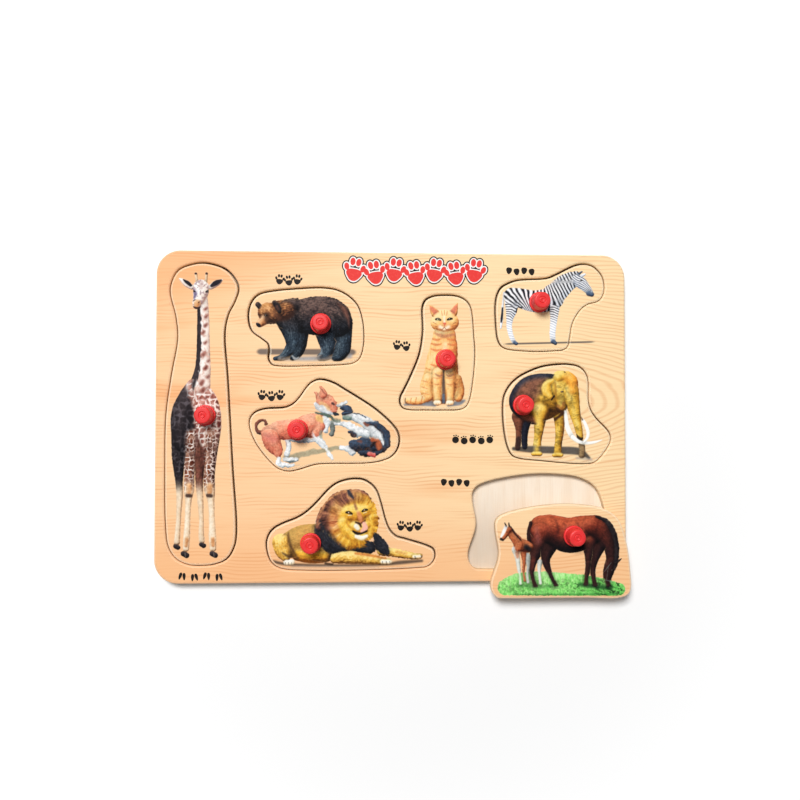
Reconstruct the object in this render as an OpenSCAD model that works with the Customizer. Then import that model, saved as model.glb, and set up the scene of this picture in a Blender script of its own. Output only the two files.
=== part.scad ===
// Peg puzzle: a wooden tray with eight shaped recesses, and a picture piece with a peg for each.
// Seven pieces lie in their recesses. The horses piece lies on the tray, beside its empty recess.
// Millimetres, +Z up, origin at the centre of the tray's underside.

/* [Tray] */
// Thickness of the plain backing sheet, the floor of the recesses
backing_t = 3; // [2:0.5:6]
// Thickness of the routed panel, and of the piece blanks that lie in it
panel_t = 5; // [4:0.5:10]
// Thickness of the printed sheets on the panel and on the blanks
print_t = 0.3; // [0.2:0.1:0.6]
// Radius of the tray's corners
tray_corner_r = 15; // [4:1:20]
// Wall between the rightmost recess and the tray's right edge
right_wall = 9.4; // [4:0.2:30]
// Wall between the highest recess and the tray's far edge
far_wall = 5.3; // [3:0.1:30]

/* [Fit] */
// Gap all round between a piece and its recess, with the piece centred
recess_gap = 0.8; // [0.6:0.1:1.6]
// How far a piece lies to one side within that gap
piece_play = 0.4; // [0:0.05:0.5]
// Bare wood between the edge of a printed sheet and the edge of the wood under it
print_margin = 1.2; // [0.4:0.1:2]

/* [Giraffe] */
// Width of the giraffe piece
giraffe_w = 44.5; // [36:0.5:60]
// Depth of the giraffe piece
giraffe_d = 190.1; // [150:0.1:220]
// Wall between the tray's left edge and the giraffe recess
giraffe_side_wall = 5.8; // [3:0.1:30]
// Wall between the tray's near edge and the giraffe recess
giraffe_near_wall = 11; // [3:0.1:30]

/* [Bear] */
// Width of the bear piece
bear_w = 72.5; // [58:0.5:90]
// Depth of the bear piece
bear_d = 49.3; // [40:0.1:60]
// Wall between the giraffe recess and the bear recess
bear_side_wall = 5.1; // [3:0.1:30]
// Wall between the dogs recess and the bear recess
bear_near_wall = 7.5; // [3:0.1:30]

/* [Cat] */
// Width of the cat piece
cat_w = 47.5; // [38:0.5:60]
// Depth of the cat piece
cat_d = 73.1; // [58:0.1:90]
// Wall between the bear recess and the cat recess
cat_side_wall = 22.2; // [10:0.1:40]
// How far the dogs recess reaches to the right of the cat recess's left edge, below it
dogs_tuck = 0.9; // [0:0.1:3]
// Wall between the lion recess and the cat recess
cat_near_wall = 42.8; // [30:0.1:60]

/* [Zebra] */
// Width of the zebra piece
zebra_w = 70.4; // [56:0.1:90]
// Depth of the zebra piece
zebra_d = 56.2; // [45:0.1:70]
// Wall between the cat recess and the zebra recess
zebra_side_wall = 12.4; // [4:0.1:30]
// Wall between the elephant recess and the zebra recess
zebra_near_wall = 7.2; // [3:0.1:30]

/* [Dogs] */
// Width of the dogs piece
dogs_w = 94.5; // [76:0.5:110]
// Depth of the dogs piece
dogs_d = 57.6; // [46:0.1:70]
// Wall between the giraffe recess and the dogs recess
dogs_side_wall = 6.2; // [3:0.1:20]
// Wall between the lion recess and the dogs recess
dogs_near_wall = 3.9; // [3:0.1:30]

/* [Elephant] */
// Width of the elephant piece
elephant_w = 69.5; // [56:0.5:90]
// Depth of the elephant piece
elephant_d = 63.5; // [50:0.5:80]
// Wall between the cat recess and the elephant recess
elephant_side_wall = 17.1; // [4:0.1:30]
// Wall between the horses recess and the elephant recess
elephant_near_wall = 6; // [3:0.1:30]

/* [Lion] */
// Width of the lion piece
lion_w = 106; // [85:0.5:130]
// Depth of the lion piece
lion_d = 57.2; // [46:0.1:70]
// Wall between the giraffe recess and the lion recess
lion_side_wall = 17.4; // [3:0.1:30]
// Wall between the tray's near edge and the lion recess
lion_near_wall = 7.4; // [3:0.1:30]

/* [Horses] */
// Width of the horses piece
horses_w = 90.2; // [72:0.1:110]
// Depth of the horses piece
horses_d = 59.6; // [48:0.1:75]
// Wall between the lion recess and the horses recess
horses_side_wall = 20.6; // [4:0.1:40]
// Wall between the tray's near edge and the horses recess
horses_near_wall = 7.4; // [3:0.1:30]
// How far to the right of its recess the horses piece lies
horses_aside_x = 13; // [-20:0.5:20]
// How far towards the near edge from its recess the horses piece lies
horses_aside_y = 18.3; // [-20:0.1:25]

/* [Pegs] */
// Height of a peg above the picture
peg_h = 11; // [9:0.5:20]
// Diameter of the peg's flange
peg_flange_d = 13.2; // [12:0.1:16]
// Thickness of the peg's flange
peg_flange_t = 2; // [1.2:0.1:4]
// Diameter of the peg's body where it leaves the flange
peg_foot_d = 11.4; // [10.5:0.1:11.8]
// Diameter of the peg's body at its top
peg_top_d = 10.4; // [8:0.1:11.2]
// Radius of the rounded edge of the peg's top
peg_top_r = 1; // [0.5:0.1:2]
// Radius of the rounded edge of the flange
peg_flange_r = 0.8; // [0.2:0.1:1]
// Outer diameter of the ring groove in the peg's top
peg_groove_d = 4.8; // [4:0.1:6]
// Width of the ring groove
peg_groove_w = 0.7; // [0.4:0.1:1]
// Depth of the ring groove
peg_groove_depth = 0.5; // [0.2:0.1:1]
// Radius of the round dimple in the middle of the top
peg_dimple_r = 0.9; // [0.6:0.1:1.2]
// Depth of the dimple
peg_dimple_depth = 0.4; // [0.2:0.1:0.6]
// Diameter of the stem that passes through the blank
peg_stem_d = 6; // [5:0.1:8]
// Gap between the stem and its hole, on each side
peg_stem_gap = 0.1; // [0.05:0.05:0.3]

/* [Rivets] */
// Diameter of the rivet's head
rivet_head_d = 9; // [8:0.1:12]
// Thickness of the rivet's head
rivet_head_t = 1.2; // [0.6:0.1:1.6]
// How deep the head lies below the underside of the blank
rivet_inset = 0.3; // [0.1:0.1:0.6]
// Gap between the head and its pocket, on each side
rivet_head_gap = 0.3; // [0.1:0.1:0.6]
// Diameter of the rivet's shank
rivet_shank_d = 3; // [2:0.1:3.6]
// Length of the rivet's shank
rivet_shank_l = 9; // [5:0.5:10]
// Gap between the shank and the peg's bore, on each side
rivet_shank_gap = 0.05; // [0.05:0.05:0.2]
// Room left past the end of the shank in the peg's bore
rivet_end_room = 0.6; // [0.2:0.1:1.5]

/* [Hidden] */
$fn = 64;
overrun = 1;         // how far each cut runs past the faces that it cuts
span_steps = 4;      // straight pieces in each span of a smooth outline
edge_steps = 5;      // straight pieces in each rounded edge of a peg

// Outlines, as shares of a piece's width and depth from its near left corner, anticlockwise
giraffe_shares = [
    [0.54, 1], [0.35, 0.995], [0.16, 0.974], [0.055, 0.914], [0.137, 0.822], [0.166, 0.752],
    [0.085, 0.633], [0.01, 0.5], [0, 0.33], [0.02, 0.12], [0.06, 0.06], [0.17, 0.022],
    [0.34, 0.003], [0.5, 0], [0.69, 0.004], [0.86, 0.021], [0.96, 0.06], [0.99, 0.11],
    [0.93, 0.33], [0.855, 0.62], [0.81, 0.77], [0.86, 0.832], [0.95, 0.875], [1, 0.918],
    [0.94, 0.952], [0.8, 0.983]];
bear_shares = [
    [0.65, 1], [0.44, 0.988], [0.18, 0.946], [0.09, 0.908], [0.03, 0.82], [0, 0.645],
    [0.03, 0.45], [0.12, 0.345], [0.172, 0.28], [0.183, 0.19], [0.178, 0.09], [0.205, 0.02],
    [0.267, 0], [0.58, 0.006], [0.84, 0.024], [0.915, 0.045], [0.965, 0.105], [0.995, 0.25],
    [1, 0.42], [0.985, 0.61], [0.945, 0.78], [0.87, 0.895], [0.77, 0.972]];
cat_shares = [
    [0.6, 1], [0.44, 0.989], [0.345, 0.957], [0.304, 0.895], [0.307, 0.75], [0.305, 0.66],
    [0.26, 0.482], [0.13, 0.271], [0.05, 0.165], [0.006, 0.105], [0.003, 0.058], [0.035, 0.02],
    [0.12, 0.003], [0.33, 0], [0.6, 0], [0.79, 0.004], [0.87, 0.024], [0.92, 0.075],
    [0.97, 0.245], [1, 0.5], [0.985, 0.65], [0.96, 0.85], [0.932, 0.915], [0.87, 0.962],
    [0.76, 0.993]];
zebra_shares = [
    [0.81, 1], [0.73, 0.98], [0.56, 0.876], [0.49, 0.838], [0.42, 0.824], [0.28, 0.815],
    [0.19, 0.802], [0.11, 0.765], [0.05, 0.715], [0.015, 0.63], [0, 0.5], [0.006, 0.28],
    [0.02, 0.14], [0.045, 0.07], [0.09, 0.032], [0.28, 0.003], [0.42, 0], [0.55, 0.01],
    [0.615, 0.019], [0.655, 0.048], [0.672, 0.12], [0.7, 0.31], [0.745, 0.425], [0.8, 0.507],
    [0.86, 0.553], [0.94, 0.581], [0.98, 0.63], [1, 0.72], [0.985, 0.85], [0.94, 0.932],
    [0.885, 0.983]];
dogs_shares = [
    [0.475, 1], [0.435, 0.986], [0.395, 0.94], [0.33, 0.795], [0.29, 0.729], [0.235, 0.69],
    [0.1, 0.673], [0.04, 0.637], [0.008, 0.575], [0.003, 0.49], [0.045, 0.308], [0.15, 0.088],
    [0.2, 0.025], [0.26, 0], [0.32, 0.015], [0.44, 0.073], [0.54, 0.084], [0.68, 0.084],
    [0.8, 0.091], [0.88, 0.113], [0.945, 0.157], [0.985, 0.235], [1, 0.33], [0.99, 0.42],
    [0.96, 0.495], [0.84, 0.675], [0.64, 0.885], [0.555, 0.966]];
elephant_shares = [
    [0.545, 1], [0.36, 0.973], [0.18, 0.89], [0.1, 0.826], [0.045, 0.752], [0.01, 0.665],
    [0, 0.55], [0.01, 0.35], [0.045, 0.165], [0.085, 0.087], [0.14, 0.058], [0.36, 0.03],
    [0.64, 0.003], [0.77, 0], [0.84, 0.01], [0.885, 0.043], [0.98, 0.18], [1, 0.25],
    [0.983, 0.315], [0.865, 0.455], [0.815, 0.54], [0.793, 0.63], [0.792, 0.81], [0.78, 0.885],
    [0.748, 0.942], [0.7, 0.98], [0.635, 0.996]];
lion_shares = [
    [0.525, 1], [0.475, 0.99], [0.42, 0.957], [0.375, 0.9], [0.285, 0.722], [0.235, 0.638],
    [0.185, 0.578], [0.085, 0.502], [0.04, 0.452], [0.012, 0.385], [0, 0.29], [0.02, 0.125],
    [0.05, 0.06], [0.095, 0.023], [0.26, 0.002], [0.57, 0.002], [0.89, 0.022], [0.955, 0.037],
    [0.987, 0.085], [1, 0.15], [0.992, 0.215], [0.96, 0.252], [0.82, 0.334], [0.77, 0.362],
    [0.735, 0.42], [0.71, 0.51], [0.67, 0.77], [0.65, 0.87], [0.62, 0.938], [0.575, 0.988]];
horses_shares = [
    [0.5, 1], [0.36, 0.984], [0.22, 0.949], [0.127, 0.914], [0.065, 0.873], [0.035, 0.815],
    [0.034, 0.72], [0.058, 0.5], [0.05, 0.4], [0.005, 0.195], [0.002, 0.12], [0.018, 0.055],
    [0.05, 0.012], [0.11, 0.004], [0.4, 0.004], [0.68, 0.003], [0.92, 0], [0.982, 0.04],
    [1, 0.11], [0.997, 0.24], [0.975, 0.54], [0.928, 0.79], [0.89, 0.873], [0.835, 0.93],
    [0.76, 0.97], [0.63, 0.995]];

// Peg places, as shares of a piece's width and depth from its near left corner
giraffe_peg_share = [0.56, 0.495];
bear_peg_share = [0.626, 0.54];
cat_peg_share = [0.607, 0.438];
zebra_peg_share = [0.395, 0.56];
dogs_peg_share = [0.324, 0.45];
elephant_peg_share = [0.18, 0.59];
lion_peg_share = [0.26, 0.3];
horses_peg_share = [0.587, 0.664];

// Ways in which the pieces lie within the play, as shares of it
near_left_share = [-0.7, -0.7];
near_right_share = [0.7, -0.7];
near_share = [0, -1];
centred_share = [0, 0];

// Recess sizes across the layout, each a piece with the gap on both sides
function recess(size) = size + 2 * recess_gap;

// Near left corners of the recesses, counted from the tray's near left corner
giraffe_x = giraffe_side_wall;
giraffe_right = giraffe_x + recess(giraffe_w);
bear_x = giraffe_right + bear_side_wall;
dogs_x = giraffe_right + dogs_side_wall;
cat_x = max(bear_x + recess(bear_w) + cat_side_wall, dogs_x + recess(dogs_w) - dogs_tuck);
cat_right = cat_x + recess(cat_w);
zebra_x = cat_right + zebra_side_wall;
elephant_x = cat_right + elephant_side_wall;
lion_x = giraffe_right + lion_side_wall;
horses_x = lion_x + recess(lion_w) + horses_side_wall;
giraffe_y = giraffe_near_wall;
lion_y = lion_near_wall;
lion_far = lion_y + recess(lion_d);
dogs_y = lion_far + dogs_near_wall;
bear_y = dogs_y + recess(dogs_d) + bear_near_wall;
cat_y = lion_far + cat_near_wall;
horses_y = horses_near_wall;
elephant_y = horses_y + recess(horses_d) + elephant_near_wall;
zebra_y = elephant_y + recess(elephant_d) + zebra_near_wall;

// The tray reaches past the rightmost and the highest recess by its walls
tray_w = right_wall + max(zebra_x + recess(zebra_w), elephant_x + recess(elephant_w),
    horses_x + recess(horses_w), dogs_x + recess(dogs_w));
tray_d = far_wall + max(giraffe_y + recess(giraffe_d), bear_y + recess(bear_d),
    cat_y + recess(cat_d), zebra_y + recess(zebra_d));
lift_aside = panel_t + print_t;    // a piece laid on the tray is higher by its recess's depth

// One row for each piece: name, size, recess corner, outline, peg place, lie, and how far aside it lies
NAME = 0;
SIZE = 1;
CORNER = 2;
OUTLINE = 3;
PEG = 4;
LIE = 5;
ASIDE = 6;
in_place = [0, 0, 0];
PIECES = [
    ["giraffe", [giraffe_w, giraffe_d], [giraffe_x, giraffe_y],
        giraffe_shares, giraffe_peg_share, near_left_share, in_place],
    ["bear", [bear_w, bear_d], [bear_x, bear_y],
        bear_shares, bear_peg_share, near_right_share, in_place],
    ["cat", [cat_w, cat_d], [cat_x, cat_y],
        cat_shares, cat_peg_share, near_right_share, in_place],
    ["zebra", [zebra_w, zebra_d], [zebra_x, zebra_y],
        zebra_shares, zebra_peg_share, near_right_share, in_place],
    ["dogs", [dogs_w, dogs_d], [dogs_x, dogs_y],
        dogs_shares, dogs_peg_share, near_left_share, in_place],
    ["elephant", [elephant_w, elephant_d], [elephant_x, elephant_y],
        elephant_shares, elephant_peg_share, near_right_share, in_place],
    ["lion", [lion_w, lion_d], [lion_x, lion_y],
        lion_shares, lion_peg_share, near_share, in_place],
    ["horses", [horses_w, horses_d], [horses_x, horses_y],
        horses_shares, horses_peg_share, centred_share, [horses_aside_x, -horses_aside_y, lift_aside]]];

TRAY_NODES = ["backing_board", "frame_panel", "frame_print"];
PIECE_NODES = ["blank", "print", "peg", "rivet"];

// Points of one span of a smooth curve from b to c, with a and d on either side.
// Knots are spaced by the root of the distance, so the curve neither loops nor overshoots.
function knot(a, b) = sqrt(norm(b - a));
function between(a, b, ta, tb, t) = a + (b - a) * (t - ta) / (tb - ta);
function smooth_span(a, b, c, d) =
    let (tb = knot(a, b), tc = tb + knot(b, c), td = tc + knot(c, d))
    [for (i = [0 : span_steps - 1])
        let (t = tb + (tc - tb) * i / span_steps,
            ab = between(a, b, 0, tb, t),
            bc = between(b, c, tb, tc, t),
            cd = between(c, d, tc, td, t),
            abc = between(ab, bc, 0, tc, t),
            bcd = between(bc, cd, tb, td, t))
        between(abc, bcd, tb, tc, t)];

// A closed smooth curve through points
function smooth_loop(points) =
    let (n = len(points))
    [for (k = [0 : n - 1])
        each smooth_span(points[(k + n - 1) % n], points[k], points[(k + 1) % n], points[(k + 2) % n])];

// An anticlockwise loop moved outwards along its normals, or inwards where the distance is negative
function grown_loop(loop, distance) =
    let (n = len(loop))
    [for (k = [0 : n - 1])
        let (along = loop[(k + 1) % n] - loop[(k + n - 1) % n])
        loop[k] + [along[1], -along[0]] * distance / norm(along)];

// A piece's own outline, from its near left corner
function piece_loop(p) = smooth_loop([for (s = p[OUTLINE]) [s[0] * p[SIZE][0], s[1] * p[SIZE][1]]]);

// Where a centred piece's near left corner lies, from the tray's centre
function recess_place(p) = p[CORNER] + [recess_gap, recess_gap] - [tray_w, tray_d] / 2;

// Where a piece's near left corner rests, with its height
function piece_place(p) =
    let (flat = recess_place(p) + p[LIE] * piece_play)
    [flat[0], flat[1], backing_t] + p[ASIDE];

// Where the middle of a piece's peg stands
function peg_place(p) =
    piece_place(p) + [p[PEG][0] * p[SIZE][0], p[PEG][1] * p[SIZE][1], 0];

// A quarter turn of an edge of radius r, from pointing outwards to pointing up
function edge_arc(centre_r, centre_z, r) =
    [for (i = [0 : edge_steps])
        let (turn = 90 * i / edge_steps)
        [centre_r + r * cos(turn), centre_z + r * sin(turn)]];

// Rivet and stem sizes that follow from those above
rivet_pocket_depth = rivet_inset + rivet_head_t;
peg_stem_l = panel_t + print_t - rivet_pocket_depth;
peg_bore_l = rivet_shank_l + rivet_end_room;

// The tray's outline, drawn in by an inset
module tray_outline(inset) {
    w = tray_w - 2 * inset;
    d = tray_d - 2 * inset;
    r = tray_corner_r - inset;
    square([w - 2 * r, d], center = true);
    square([w, d - 2 * r], center = true);
    for (x = [r - w / 2, w / 2 - r])
        for (y = [r - d / 2, d / 2 - r])
            translate([x, y]) circle(r);
}

// A plate of the tray's outline with the recesses cut through it, wider by an extra gap
module recessed_plate(t, inset) {
    difference() {
        linear_extrude(t) tray_outline(inset);
        for (p = PIECES)
            translate([recess_place(p)[0], recess_place(p)[1], -overrun])
                linear_extrude(t + 2 * overrun) polygon(grown_loop(piece_loop(p), recess_gap + inset));
    }
}

module backing_board() {
    color("wheat") linear_extrude(backing_t) tray_outline(0);
}

module frame_panel() {
    color("burlywood") translate([0, 0, backing_t]) recessed_plate(panel_t, 0);
}

module frame_print() {
    color("navajowhite") translate([0, 0, backing_t + panel_t]) recessed_plate(print_t, print_margin);
}

// A wooden blank, bored for the peg's stem and pocketed from below for the rivet's head
module piece_blank(p) {
    color("wheat") difference() {
        translate(piece_place(p)) linear_extrude(panel_t) polygon(piece_loop(p));
        translate(peg_place(p)) {
            translate([0, 0, -overrun])
                cylinder(h = panel_t + 2 * overrun, d = peg_stem_d + 2 * peg_stem_gap);
            translate([0, 0, -overrun])
                cylinder(h = rivet_pocket_depth + overrun, d = rivet_head_d + 2 * rivet_head_gap);
        }
    }
}

// The picture sheet on a blank, with the stem's hole
module piece_print(p) {
    color("ivory") difference() {
        translate(piece_place(p) + [0, 0, panel_t])
            linear_extrude(print_t) polygon(grown_loop(piece_loop(p), -print_margin));
        translate(peg_place(p) + [0, 0, panel_t - overrun])
            cylinder(h = print_t + 2 * overrun, d = peg_stem_d + 2 * peg_stem_gap);
    }
}

// A moulded peg: flange, tapered body with a grooved and dimpled top, and a bored stem
module piece_peg(p) {
    flange_r = peg_flange_d / 2;
    top_r = peg_top_d / 2;
    outline = concat(
        [[0, -peg_stem_l], [peg_stem_d / 2, -peg_stem_l], [peg_stem_d / 2, 0], [flange_r, 0]],
        edge_arc(flange_r - peg_flange_r, peg_flange_t - peg_flange_r, peg_flange_r),
        [[peg_foot_d / 2, peg_flange_t]],
        edge_arc(top_r - peg_top_r, peg_h - peg_top_r, peg_top_r),
        [[0, peg_h]]);
    color("firebrick") translate(peg_place(p) + [0, 0, panel_t + print_t]) difference() {
        rotate_extrude() polygon(outline);
        translate([0, 0, -peg_stem_l - overrun])
            cylinder(h = peg_bore_l + overrun, d = rivet_shank_d + 2 * rivet_shank_gap);
        translate([0, 0, peg_h - peg_groove_depth]) difference() {
            cylinder(h = peg_groove_depth + overrun, d = peg_groove_d);
            translate([0, 0, -overrun])
                cylinder(h = peg_groove_depth + 3 * overrun, d = peg_groove_d - 2 * peg_groove_w);
        }
        translate([0, 0, peg_h + peg_dimple_r - peg_dimple_depth]) sphere(peg_dimple_r);
    }
}

// A push rivet: a flat head in the blank's pocket and a shank up the peg's bore
module piece_rivet(p) {
    color("indianred") translate(peg_place(p) + [0, 0, rivet_inset]) {
        cylinder(h = rivet_head_t, d = rivet_head_d);
        cylinder(h = rivet_head_t + rivet_shank_l, d = rivet_shank_d);
    }
}

backing_board();
frame_panel();
frame_print();
for (p = PIECES) {
    piece_blank(p);
    piece_print(p);
    piece_peg(p);
    piece_rivet(p);
}
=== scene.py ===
# Peg puzzle: a wooden tray of eight lift-out animal pictures, each with a red knob.
from functools import partial
import bpy
import numpy as np
from mathutils import Euler, Matrix, Vector
from mathutils.geometry import delaunay_2d_cdt


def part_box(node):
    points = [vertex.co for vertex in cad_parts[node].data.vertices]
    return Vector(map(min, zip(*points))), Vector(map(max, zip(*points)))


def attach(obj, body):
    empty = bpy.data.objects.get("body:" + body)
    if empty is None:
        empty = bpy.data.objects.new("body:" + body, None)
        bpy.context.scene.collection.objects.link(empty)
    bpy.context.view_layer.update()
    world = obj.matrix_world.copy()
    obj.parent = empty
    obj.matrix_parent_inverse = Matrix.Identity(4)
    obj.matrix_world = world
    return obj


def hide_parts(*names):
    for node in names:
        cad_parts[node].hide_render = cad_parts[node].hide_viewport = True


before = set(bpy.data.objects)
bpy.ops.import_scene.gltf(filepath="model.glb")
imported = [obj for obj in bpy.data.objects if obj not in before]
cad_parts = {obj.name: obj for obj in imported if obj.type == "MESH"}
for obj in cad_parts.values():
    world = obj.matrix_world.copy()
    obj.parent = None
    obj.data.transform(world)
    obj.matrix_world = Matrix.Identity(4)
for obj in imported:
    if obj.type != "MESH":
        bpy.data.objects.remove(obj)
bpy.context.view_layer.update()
mm = 0.001
animals = ("giraffe", "bear", "cat", "zebra", "dogs", "elephant", "lion", "horses")
sharpAngle = np.radians(38)
# Spacing of the points along each outline
loopStep = dict(backing=1.5 * mm, panel=0.8 * mm, blank=0.7 * mm, bore=0.5 * mm, picture=0.5 * mm)
scene = bpy.context.scene
print("frame loaded:", len(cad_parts), "nodes")


# Colours are written as 0 to 255 screen values and used as linear ones
def linear(colour):
    c = np.asarray(colour, float) / 255
    return np.where(c <= 0.04045, c / 12.92, ((c + 0.055) / 1.055) ** 2.4)


def rgba(*colour):
    return (*linear(colour), 1.0)


# Outlines read from the frame

# Corner points and triangles of a node, with equal points merged by their place
def nodeTriangles(node):
    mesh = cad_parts[node].data
    points = np.empty(len(mesh.vertices) * 3, np.float32)
    mesh.vertices.foreach_get("co", points)
    mesh.calc_loop_triangles()
    triangles = np.empty(len(mesh.loop_triangles) * 3, np.int32)
    mesh.loop_triangles.foreach_get("vertices", triangles)
    places = np.round(points.reshape(-1, 3).astype(float), 7)
    merged, index = np.unique(places, axis=0, return_inverse=True)
    return merged, index.reshape(-1)[triangles].reshape(-1, 3)


# Closed outlines of a node's flat top or underside, the longest first.
# An edge that only one flat triangle has is on an outline, and the wood lies to its left.
def capLoops(node, top=True):
    points, triangles = nodeTriangles(node)
    height = points[:, 2].max() if top else points[:, 2].min()
    flat = triangles[(np.abs(points[triangles][:, :, 2] - height) < 1e-6).all(1)]
    if not top:
        flat = flat[:, ::-1]
    edges = np.concatenate((flat[:, [0, 1]], flat[:, [1, 2]], flat[:, [2, 0]]))
    code = edges[:, 0] * len(points) + edges[:, 1]
    back = edges[:, 1] * len(points) + edges[:, 0]
    onOutline = edges[~np.isin(code, back)]
    following = dict(onOutline.tolist())
    loops = []
    while following:
        walk = [next(iter(following))]
        while walk[-1] in following:
            walk.append(following.pop(walk[-1]))
        loops.append(points[walk[:-1], :2])
    return sorted(loops, key=lambda loop: -loopLength(loop))


def loopLength(loop):
    return np.linalg.norm(np.roll(loop, -1, 0) - loop, axis=1).sum()


# A cubic from a to b, with the rise at each end, at shares t
def cubic(a, b, riseA, riseB, t):
    return (a * (1 + 2 * t) * (1 - t) ** 2 + b * t * t * (3 - 2 * t)
            + riseA * t * (1 - t) ** 2 - riseB * t * t * (1 - t))


# Even points along a smooth closed curve through a loop: a cubic on each side, whose slope
# at a corner is that of the line between the corner's two neighbours
def evenLoop(loop, step):
    side = np.linalg.norm(np.roll(loop, -1, 0) - loop, axis=1)
    start = np.concatenate(([0], np.cumsum(side)))
    count = int(round(start[-1] / step))
    along = np.arange(count) * start[-1] / count
    k = np.searchsorted(start, along, "right") - 1
    slope = (np.roll(loop, -1, 0) - np.roll(loop, 1, 0)) / (side + np.roll(side, 1))[:, None]
    after = (k + 1) % len(loop)
    t = ((along - start[k]) / side[k])[:, None]
    length = side[k][:, None]
    return cubic(loop[k], loop[after], length * slope[k], length * slope[after], t)


# A loop moved away from the wood along its normals, or into it where the distance is negative
def grownLoop(loop, distance):
    along = np.roll(loop, -1, 0) - np.roll(loop, 1, 0)
    outward = np.column_stack((along[:, 1], -along[:, 0]))
    return loop + outward * distance / np.linalg.norm(outward, axis=1)[:, None]


# Meshes

# A mesh from points and arrays of faces, with flat faces kept crisp where the turn is sharp
def newPiece(name, points, faceSets, material, body, replaced=None, attributes=None):
    mesh = bpy.data.meshes.new(name)
    mesh.vertices.add(len(points))
    mesh.vertices.foreach_set("co", np.ascontiguousarray(points, np.float32).ravel())
    corners = np.concatenate([faces.ravel() for faces in faceSets]).astype(np.int32)
    sizes = np.concatenate([np.full(len(faces), faces.shape[1]) for faces in faceSets])
    mesh.loops.add(len(corners))
    mesh.loops.foreach_set("vertex_index", corners)
    mesh.polygons.add(len(sizes))
    mesh.polygons.foreach_set("loop_start", (np.cumsum(sizes) - sizes).astype(np.int32))
    mesh.update(calc_edges=True)
    for label, (kind, field, values) in (attributes or {}).items():
        made = mesh.attributes.new(label, kind, "POINT")
        made.data.foreach_set(field, np.ascontiguousarray(values, np.float32).ravel())
    mesh.shade_smooth()
    mesh.set_sharp_from_angle(angle=sharpAngle)
    mesh.materials.append(material)
    piece = bpy.data.objects.new(name, mesh)
    scene.collection.objects.link(piece)
    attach(piece, body)
    if replaced:
        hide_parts(replaced)
    return piece


# Give a node that keeps its own mesh one material
def dress(node, material):
    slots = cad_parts[node].data.materials
    slots.clear()
    slots.append(material)


# Quads between rings of points, ring after ring, each ring closed
def ringQuads(rings, count, first=0):
    k = np.arange(count)
    low = first + np.arange(rings - 1)[:, None] * count
    return np.stack((low + k, low + (k + 1) % count, low + count + (k + 1) % count,
                     low + count + k), -1).reshape(-1, 4)


# True where a point is inside an odd number of loops: each side that passes
# to the right of the point turns the answer over
def insideLoops(points, loops):
    inside = np.zeros(len(points), bool)
    for loop in loops:
        a, b = loop[:, None], np.roll(loop, -1, 0)[:, None]
        spans = (a[..., 1] > points[:, 1]) != (b[..., 1] > points[:, 1])
        rise = np.where(spans, b[..., 1] - a[..., 1], 1)
        cross = a[..., 0] + (points[:, 1] - a[..., 1]) * (b[..., 0] - a[..., 0]) / rise
        inside ^= (spans & (points[:, 0] < cross)).sum(0) % 2 == 1
    return inside


# Triangles that fill the flat face between rings of points, given by their numbers and places
def flatFill(rings):
    numbers = np.concatenate([index for index, _ in rings])
    places = np.concatenate([place for _, place in rings])
    sizes = [len(index) for index, _ in rings]
    firsts = np.cumsum(sizes) - sizes
    edges = [(int(f + k), int(f + (k + 1) % n)) for f, n in zip(firsts, sizes) for k in range(n)]
    flat = [Vector((float(x), float(y))) for x, y in places / mm]
    made = delaunay_2d_cdt(flat, edges, [], 1, 1e-5)
    origin = np.array([old[0] for old in made[3]])
    triangles = origin[np.array(made[2])]
    middle = places[triangles].mean(1)
    return numbers[triangles[insideLoops(middle, [place for _, place in rings])]]


# A solid whose walls are profiles of (growth, height) carried along closed loops, from the
# underside to the top, with flat fills between the first rings and between the last rings.
# A profile's third value is how much print covers the ring, or below zero how much painted shade darkens it.
def walledSolid(walls):
    points, quads, inked, lowRings, highRings = [], [], [], [], []
    first = 0
    for loop, profile in walls:
        count = len(loop)
        for grow, height, ink in profile:
            points.append(np.column_stack((grownLoop(loop, grow), np.full(count, height))))
            inked.append(np.full(count, ink))
        quads.append(ringQuads(len(profile), count, first))
        last = first + (len(profile) - 1) * count
        lowRings.append((np.arange(first, first + count), points[-len(profile)][:, :2]))
        highRings.append((np.arange(last, last + count), points[-1][:, :2]))
        first = last + count
    faces = [np.concatenate(quads), flatFill(lowRings)[:, ::-1], flatFill(highRings)]
    ink = {"printCover": ("FLOAT", "value", np.concatenate(inked))}
    return np.concatenate(points), faces, ink


# A quarter round from an upright wall at a height to a flat top, as profile pairs
def easedEdge(radius, low, high, ink, steps=6):
    turn = np.linspace(0, np.pi / 2, steps)
    return [(-radius * (1 - np.cos(a)), low + (high - low) * np.sin(a), ink) for a in turn]


# Shader nodes

def addNode(tree, kind, inputs=None, **settings):
    made = tree.nodes.new(kind)
    for key, value in settings.items():
        setattr(made, key, value)
    for key, value in (inputs or {}).items():
        if isinstance(value, bpy.types.NodeSocket):
            tree.links.new(value, made.inputs[key])
        else:
            made.inputs[key].default_value = value
    return made


def math(tree, operation, a, b=0.0, c=0.0):
    return addNode(tree, "ShaderNodeMath", {0: a, 1: b, 2: c}, operation=operation).outputs[0]


def mixed(tree, factor, a, b, blend="MIX"):
    made = addNode(tree, "ShaderNodeMix", {0: factor, 6: a, 7: b}, data_type="RGBA", blend_type=blend)
    return made.outputs[2]


def ranged(tree, value, low, high, outLow=0.0, outHigh=1.0, smooth=True):
    made = addNode(tree, "ShaderNodeMapRange", {0: value, 1: low, 2: high, 3: outLow, 4: outHigh})
    made.interpolation_type = "SMOOTHSTEP" if smooth else "LINEAR"
    return made.outputs[0]


def noise(tree, vector, detail=3.0, roughness=0.55, scale=1.0):
    made = addNode(tree, "ShaderNodeTexNoise", {"Vector": vector, "Scale": scale, "Detail": detail,
                                               "Roughness": roughness})
    return made.outputs["Fac"]


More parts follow.
